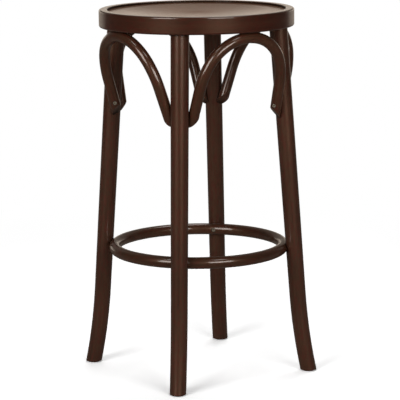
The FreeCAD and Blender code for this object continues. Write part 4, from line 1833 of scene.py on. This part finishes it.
@dataclass(frozen=True)
class Studio:
    """The floor, the world, the lamps and the camera.

    Attributes:
        camera_azimuth: Where the camera stands, in degrees from the front towards the right.
        camera_distance: How far it stands from the stool's axis.
        camera_height: Its height.
        camera_tilt: How far it looks down, in radians.
        camera_roll: How far it leans to the right, in radians.
        sensor: The width of its sensor in millimetres.
        lens: Its focal length in millimetres.
        shift: Its sideways shift, as a share of the frame.
        floor_radius: The radius of the round floor.
        floor_colour: The floor's colour in the light that it gives back.
        floor_seen: Its colour near the stool to the camera, where the shadow has to stay pale.
        floor_lift: How much it shines there.
        floor_fade: Between which distances from the stool it turns plain white.
        ambient: The strength of the light from all round.
        ambient_behind: How much stronger it is from behind the stool.
        behind: Over which cosines that light rises.
        room: How bright the room beside the white backdrop looks in reflections.
        backdrop_mirrored: How much brighter the backdrop looks there.
        floor_mirrored: How bright the floor looks in reflections.
        mirrored_tint: The warm tint of the room in reflections.
        backdrop_ahead: Over which cosines the backdrop begins, straight ahead of the camera.
        backdrop_side: Over which squared cosines to the side it ends.
        backdrop_foot: Over which heights its dimmer foot ends.
        backdrop_top: Over which heights its lit part ends.
        foot_share: How bright its foot is, as a share.
        top_share: How bright it is over its lit part.
        aim: The height that the lamps point at.
    """

    camera_azimuth: float = 56.27
    camera_distance: float = 3.649
    camera_height: float = 0.98811
    camera_tilt: float = 0.18358
    camera_roll: float = -0.01051
    sensor: float = 36.0
    lens: float = 183.49
    shift: float = 0.00398
    floor_radius: float = 4.5
    floor_colour: Colour = (0.8, 0.8, 0.79)
    floor_seen: Colour = (1.5, 1.5, 1.5)
    floor_lift: float = 0.09
    floor_fade: Span = (0.8, 1.6)
    ambient: float = 0.16
    ambient_behind: float = 0.3
    behind: Span = (0.0, 0.7)
    room: float = 0.05
    backdrop_mirrored: float = 0.95
    floor_mirrored: float = 0.12
    mirrored_tint: Colour = (1.0, 0.86, 0.72)
    backdrop_ahead: Span = (0.1, 0.4)
    backdrop_side: Span = (0.3, 0.6)
    backdrop_foot: Span = (-0.05, 0.0)
    backdrop_top: Span = (0.06, 0.16)
    foot_share: float = 0.4
    top_share: float = 0.15
    aim: float = 0.4

    def camera(self) -> None:
        """Put the camera where the photograph was taken from."""
        turn = turn_about_z(self.camera_azimuth)
        tilt = Matrix.Rotation(math.pi / 2 - self.camera_tilt, 3, "X")
        axes = turn @ tilt @ Matrix.Rotation(self.camera_roll, 3, "Z")
        place = turn @ Vector((0, -self.camera_distance, self.camera_height))
        data = bpy.data.cameras.new("photo_camera")
        data.sensor_width = self.sensor
        data.lens = self.lens
        data.shift_x = self.shift
        camera = bpy.data.objects.new("photo_camera", data)
        bpy.context.scene.collection.objects.link(camera)
        camera.matrix_world = Matrix.Translation(place) @ axes.to_4x4()
        bpy.context.scene.camera = camera

    def floor(self) -> None:
        """Lay a plain pale floor, which looks white to the camera but keeps the stool's shadow."""
        shape = bmesh.new()
        bmesh.ops.create_circle(shape, cap_ends=True, radius=self.floor_radius, segments=96)
        floor = shown(mesh_from(shape, "studio_floor"), "studio_floor")
        material, graph = new_material("studio_floor_pale")
        rays, mirrored = graph.rays()
        settings = {"operation": "LENGTH"}
        away = graph.add("ShaderNodeVectorMath", settings, {0: graph.place()}, "Value")
        lit = {0: graph.matt(self.floor_seen), 1: graph.glow(self.floor_lift)}
        near = graph.add("ShaderNodeAddShader", None, lit)
        seen = graph.mix(graph.fade(away, *self.floor_fade), near, graph.glow(1.0))
        dim = graph.glow(self.floor_mirrored, self.mirrored_tint)
        bounced = graph.mix(mirrored, graph.matt(self.floor_colour), dim)
        shader = graph.mix(rays, bounced, seen)
        graph.add("ShaderNodeOutputMaterial", None, {"Surface": shader})
        floor.data.materials.append(material)

    def world(self) -> None:
        """Light the room from all round, and show the camera and the lacquer its white backdrop."""
        world = bpy.data.worlds.new("studio_world")
        world.use_nodes = True
        world.node_tree.nodes.clear()
        graph = Graph(world.node_tree)
        turn = turn_about_z(self.camera_azimuth)
        rays, mirrored = graph.rays()
        toward = graph.add("ShaderNodeTexCoord", None, None, "Generated")
        height = graph.add("ShaderNodeSeparateXYZ", None, {0: toward}, "Z")
        side = graph.dot(toward, tuple(turn @ Vector((1, 0, 0))))
        ahead = graph.dot(toward, tuple(turn @ Vector((0, 1, 0))))
        backdrop = (
            graph.fade(ahead, *self.backdrop_ahead)
            * (1.0 - graph.fade(side * side, *self.backdrop_side))
            * (self.foot_share + (1.0 - self.foot_share) * graph.fade(height, *self.backdrop_foot))
            * (1.0 - (1.0 - self.top_share) * graph.fade(height, *self.backdrop_top))
        )
        mirror = self.room + backdrop * self.backdrop_mirrored
        behind = graph.fade(ahead, *self.behind)
        lit = (self.ambient + behind * self.ambient_behind) * (1.0 - rays - mirrored)
        colour = graph.blend(mirrored, (1.0, 1.0, 1.0), self.mirrored_tint)
        values = {"Color": colour, "Strength": rays + mirrored * mirror + lit}
        light = graph.add("ShaderNodeBackground", None, values)
        graph.add("ShaderNodeOutputWorld", None, {"Surface": light})
        bpy.context.scene.world = world

    def lamps(self) -> None:
        """Stand two soft boxes beside the camera, hang one behind the stool and add two glints."""
        boxes = {
            "soft_box_left": SoftBox(-38, 4.2, 1.95, (2.1, 2.3), 7.5),
            "soft_box_right": SoftBox(28, 4.2, 1.55, (2.3, 1.5), 8.5),
            "soft_box_above": SoftBox(160, 1.2, 3.2, (1.2, 1.2), 4.5),
            "glint_left": SoftBox(-54, 2.2, 3.9, (0.9, 0.9), 5.0, True),
            "glint_right": SoftBox(38, 2.2, 3.9, (0.9, 0.9), 5.0, True),
        }
        for name, box in boxes.items():
            box.build(name, self.camera_azimuth, UP * self.aim)

    def build(self) -> None:
        """Build the floor, the world, the lamps and the camera."""
        self.floor()
        self.world()
        self.lamps()
        self.camera()
        bpy.context.scene.view_settings.view_transform = "Standard"


def main() -> None:
    """Build the stool and the studio."""
    logging.basicConfig(level=logging.INFO, format="%(name)s: %(message)s")
    Stool().build(Workshop())
    Studio().build()


if __name__ == "__main__":
    main()
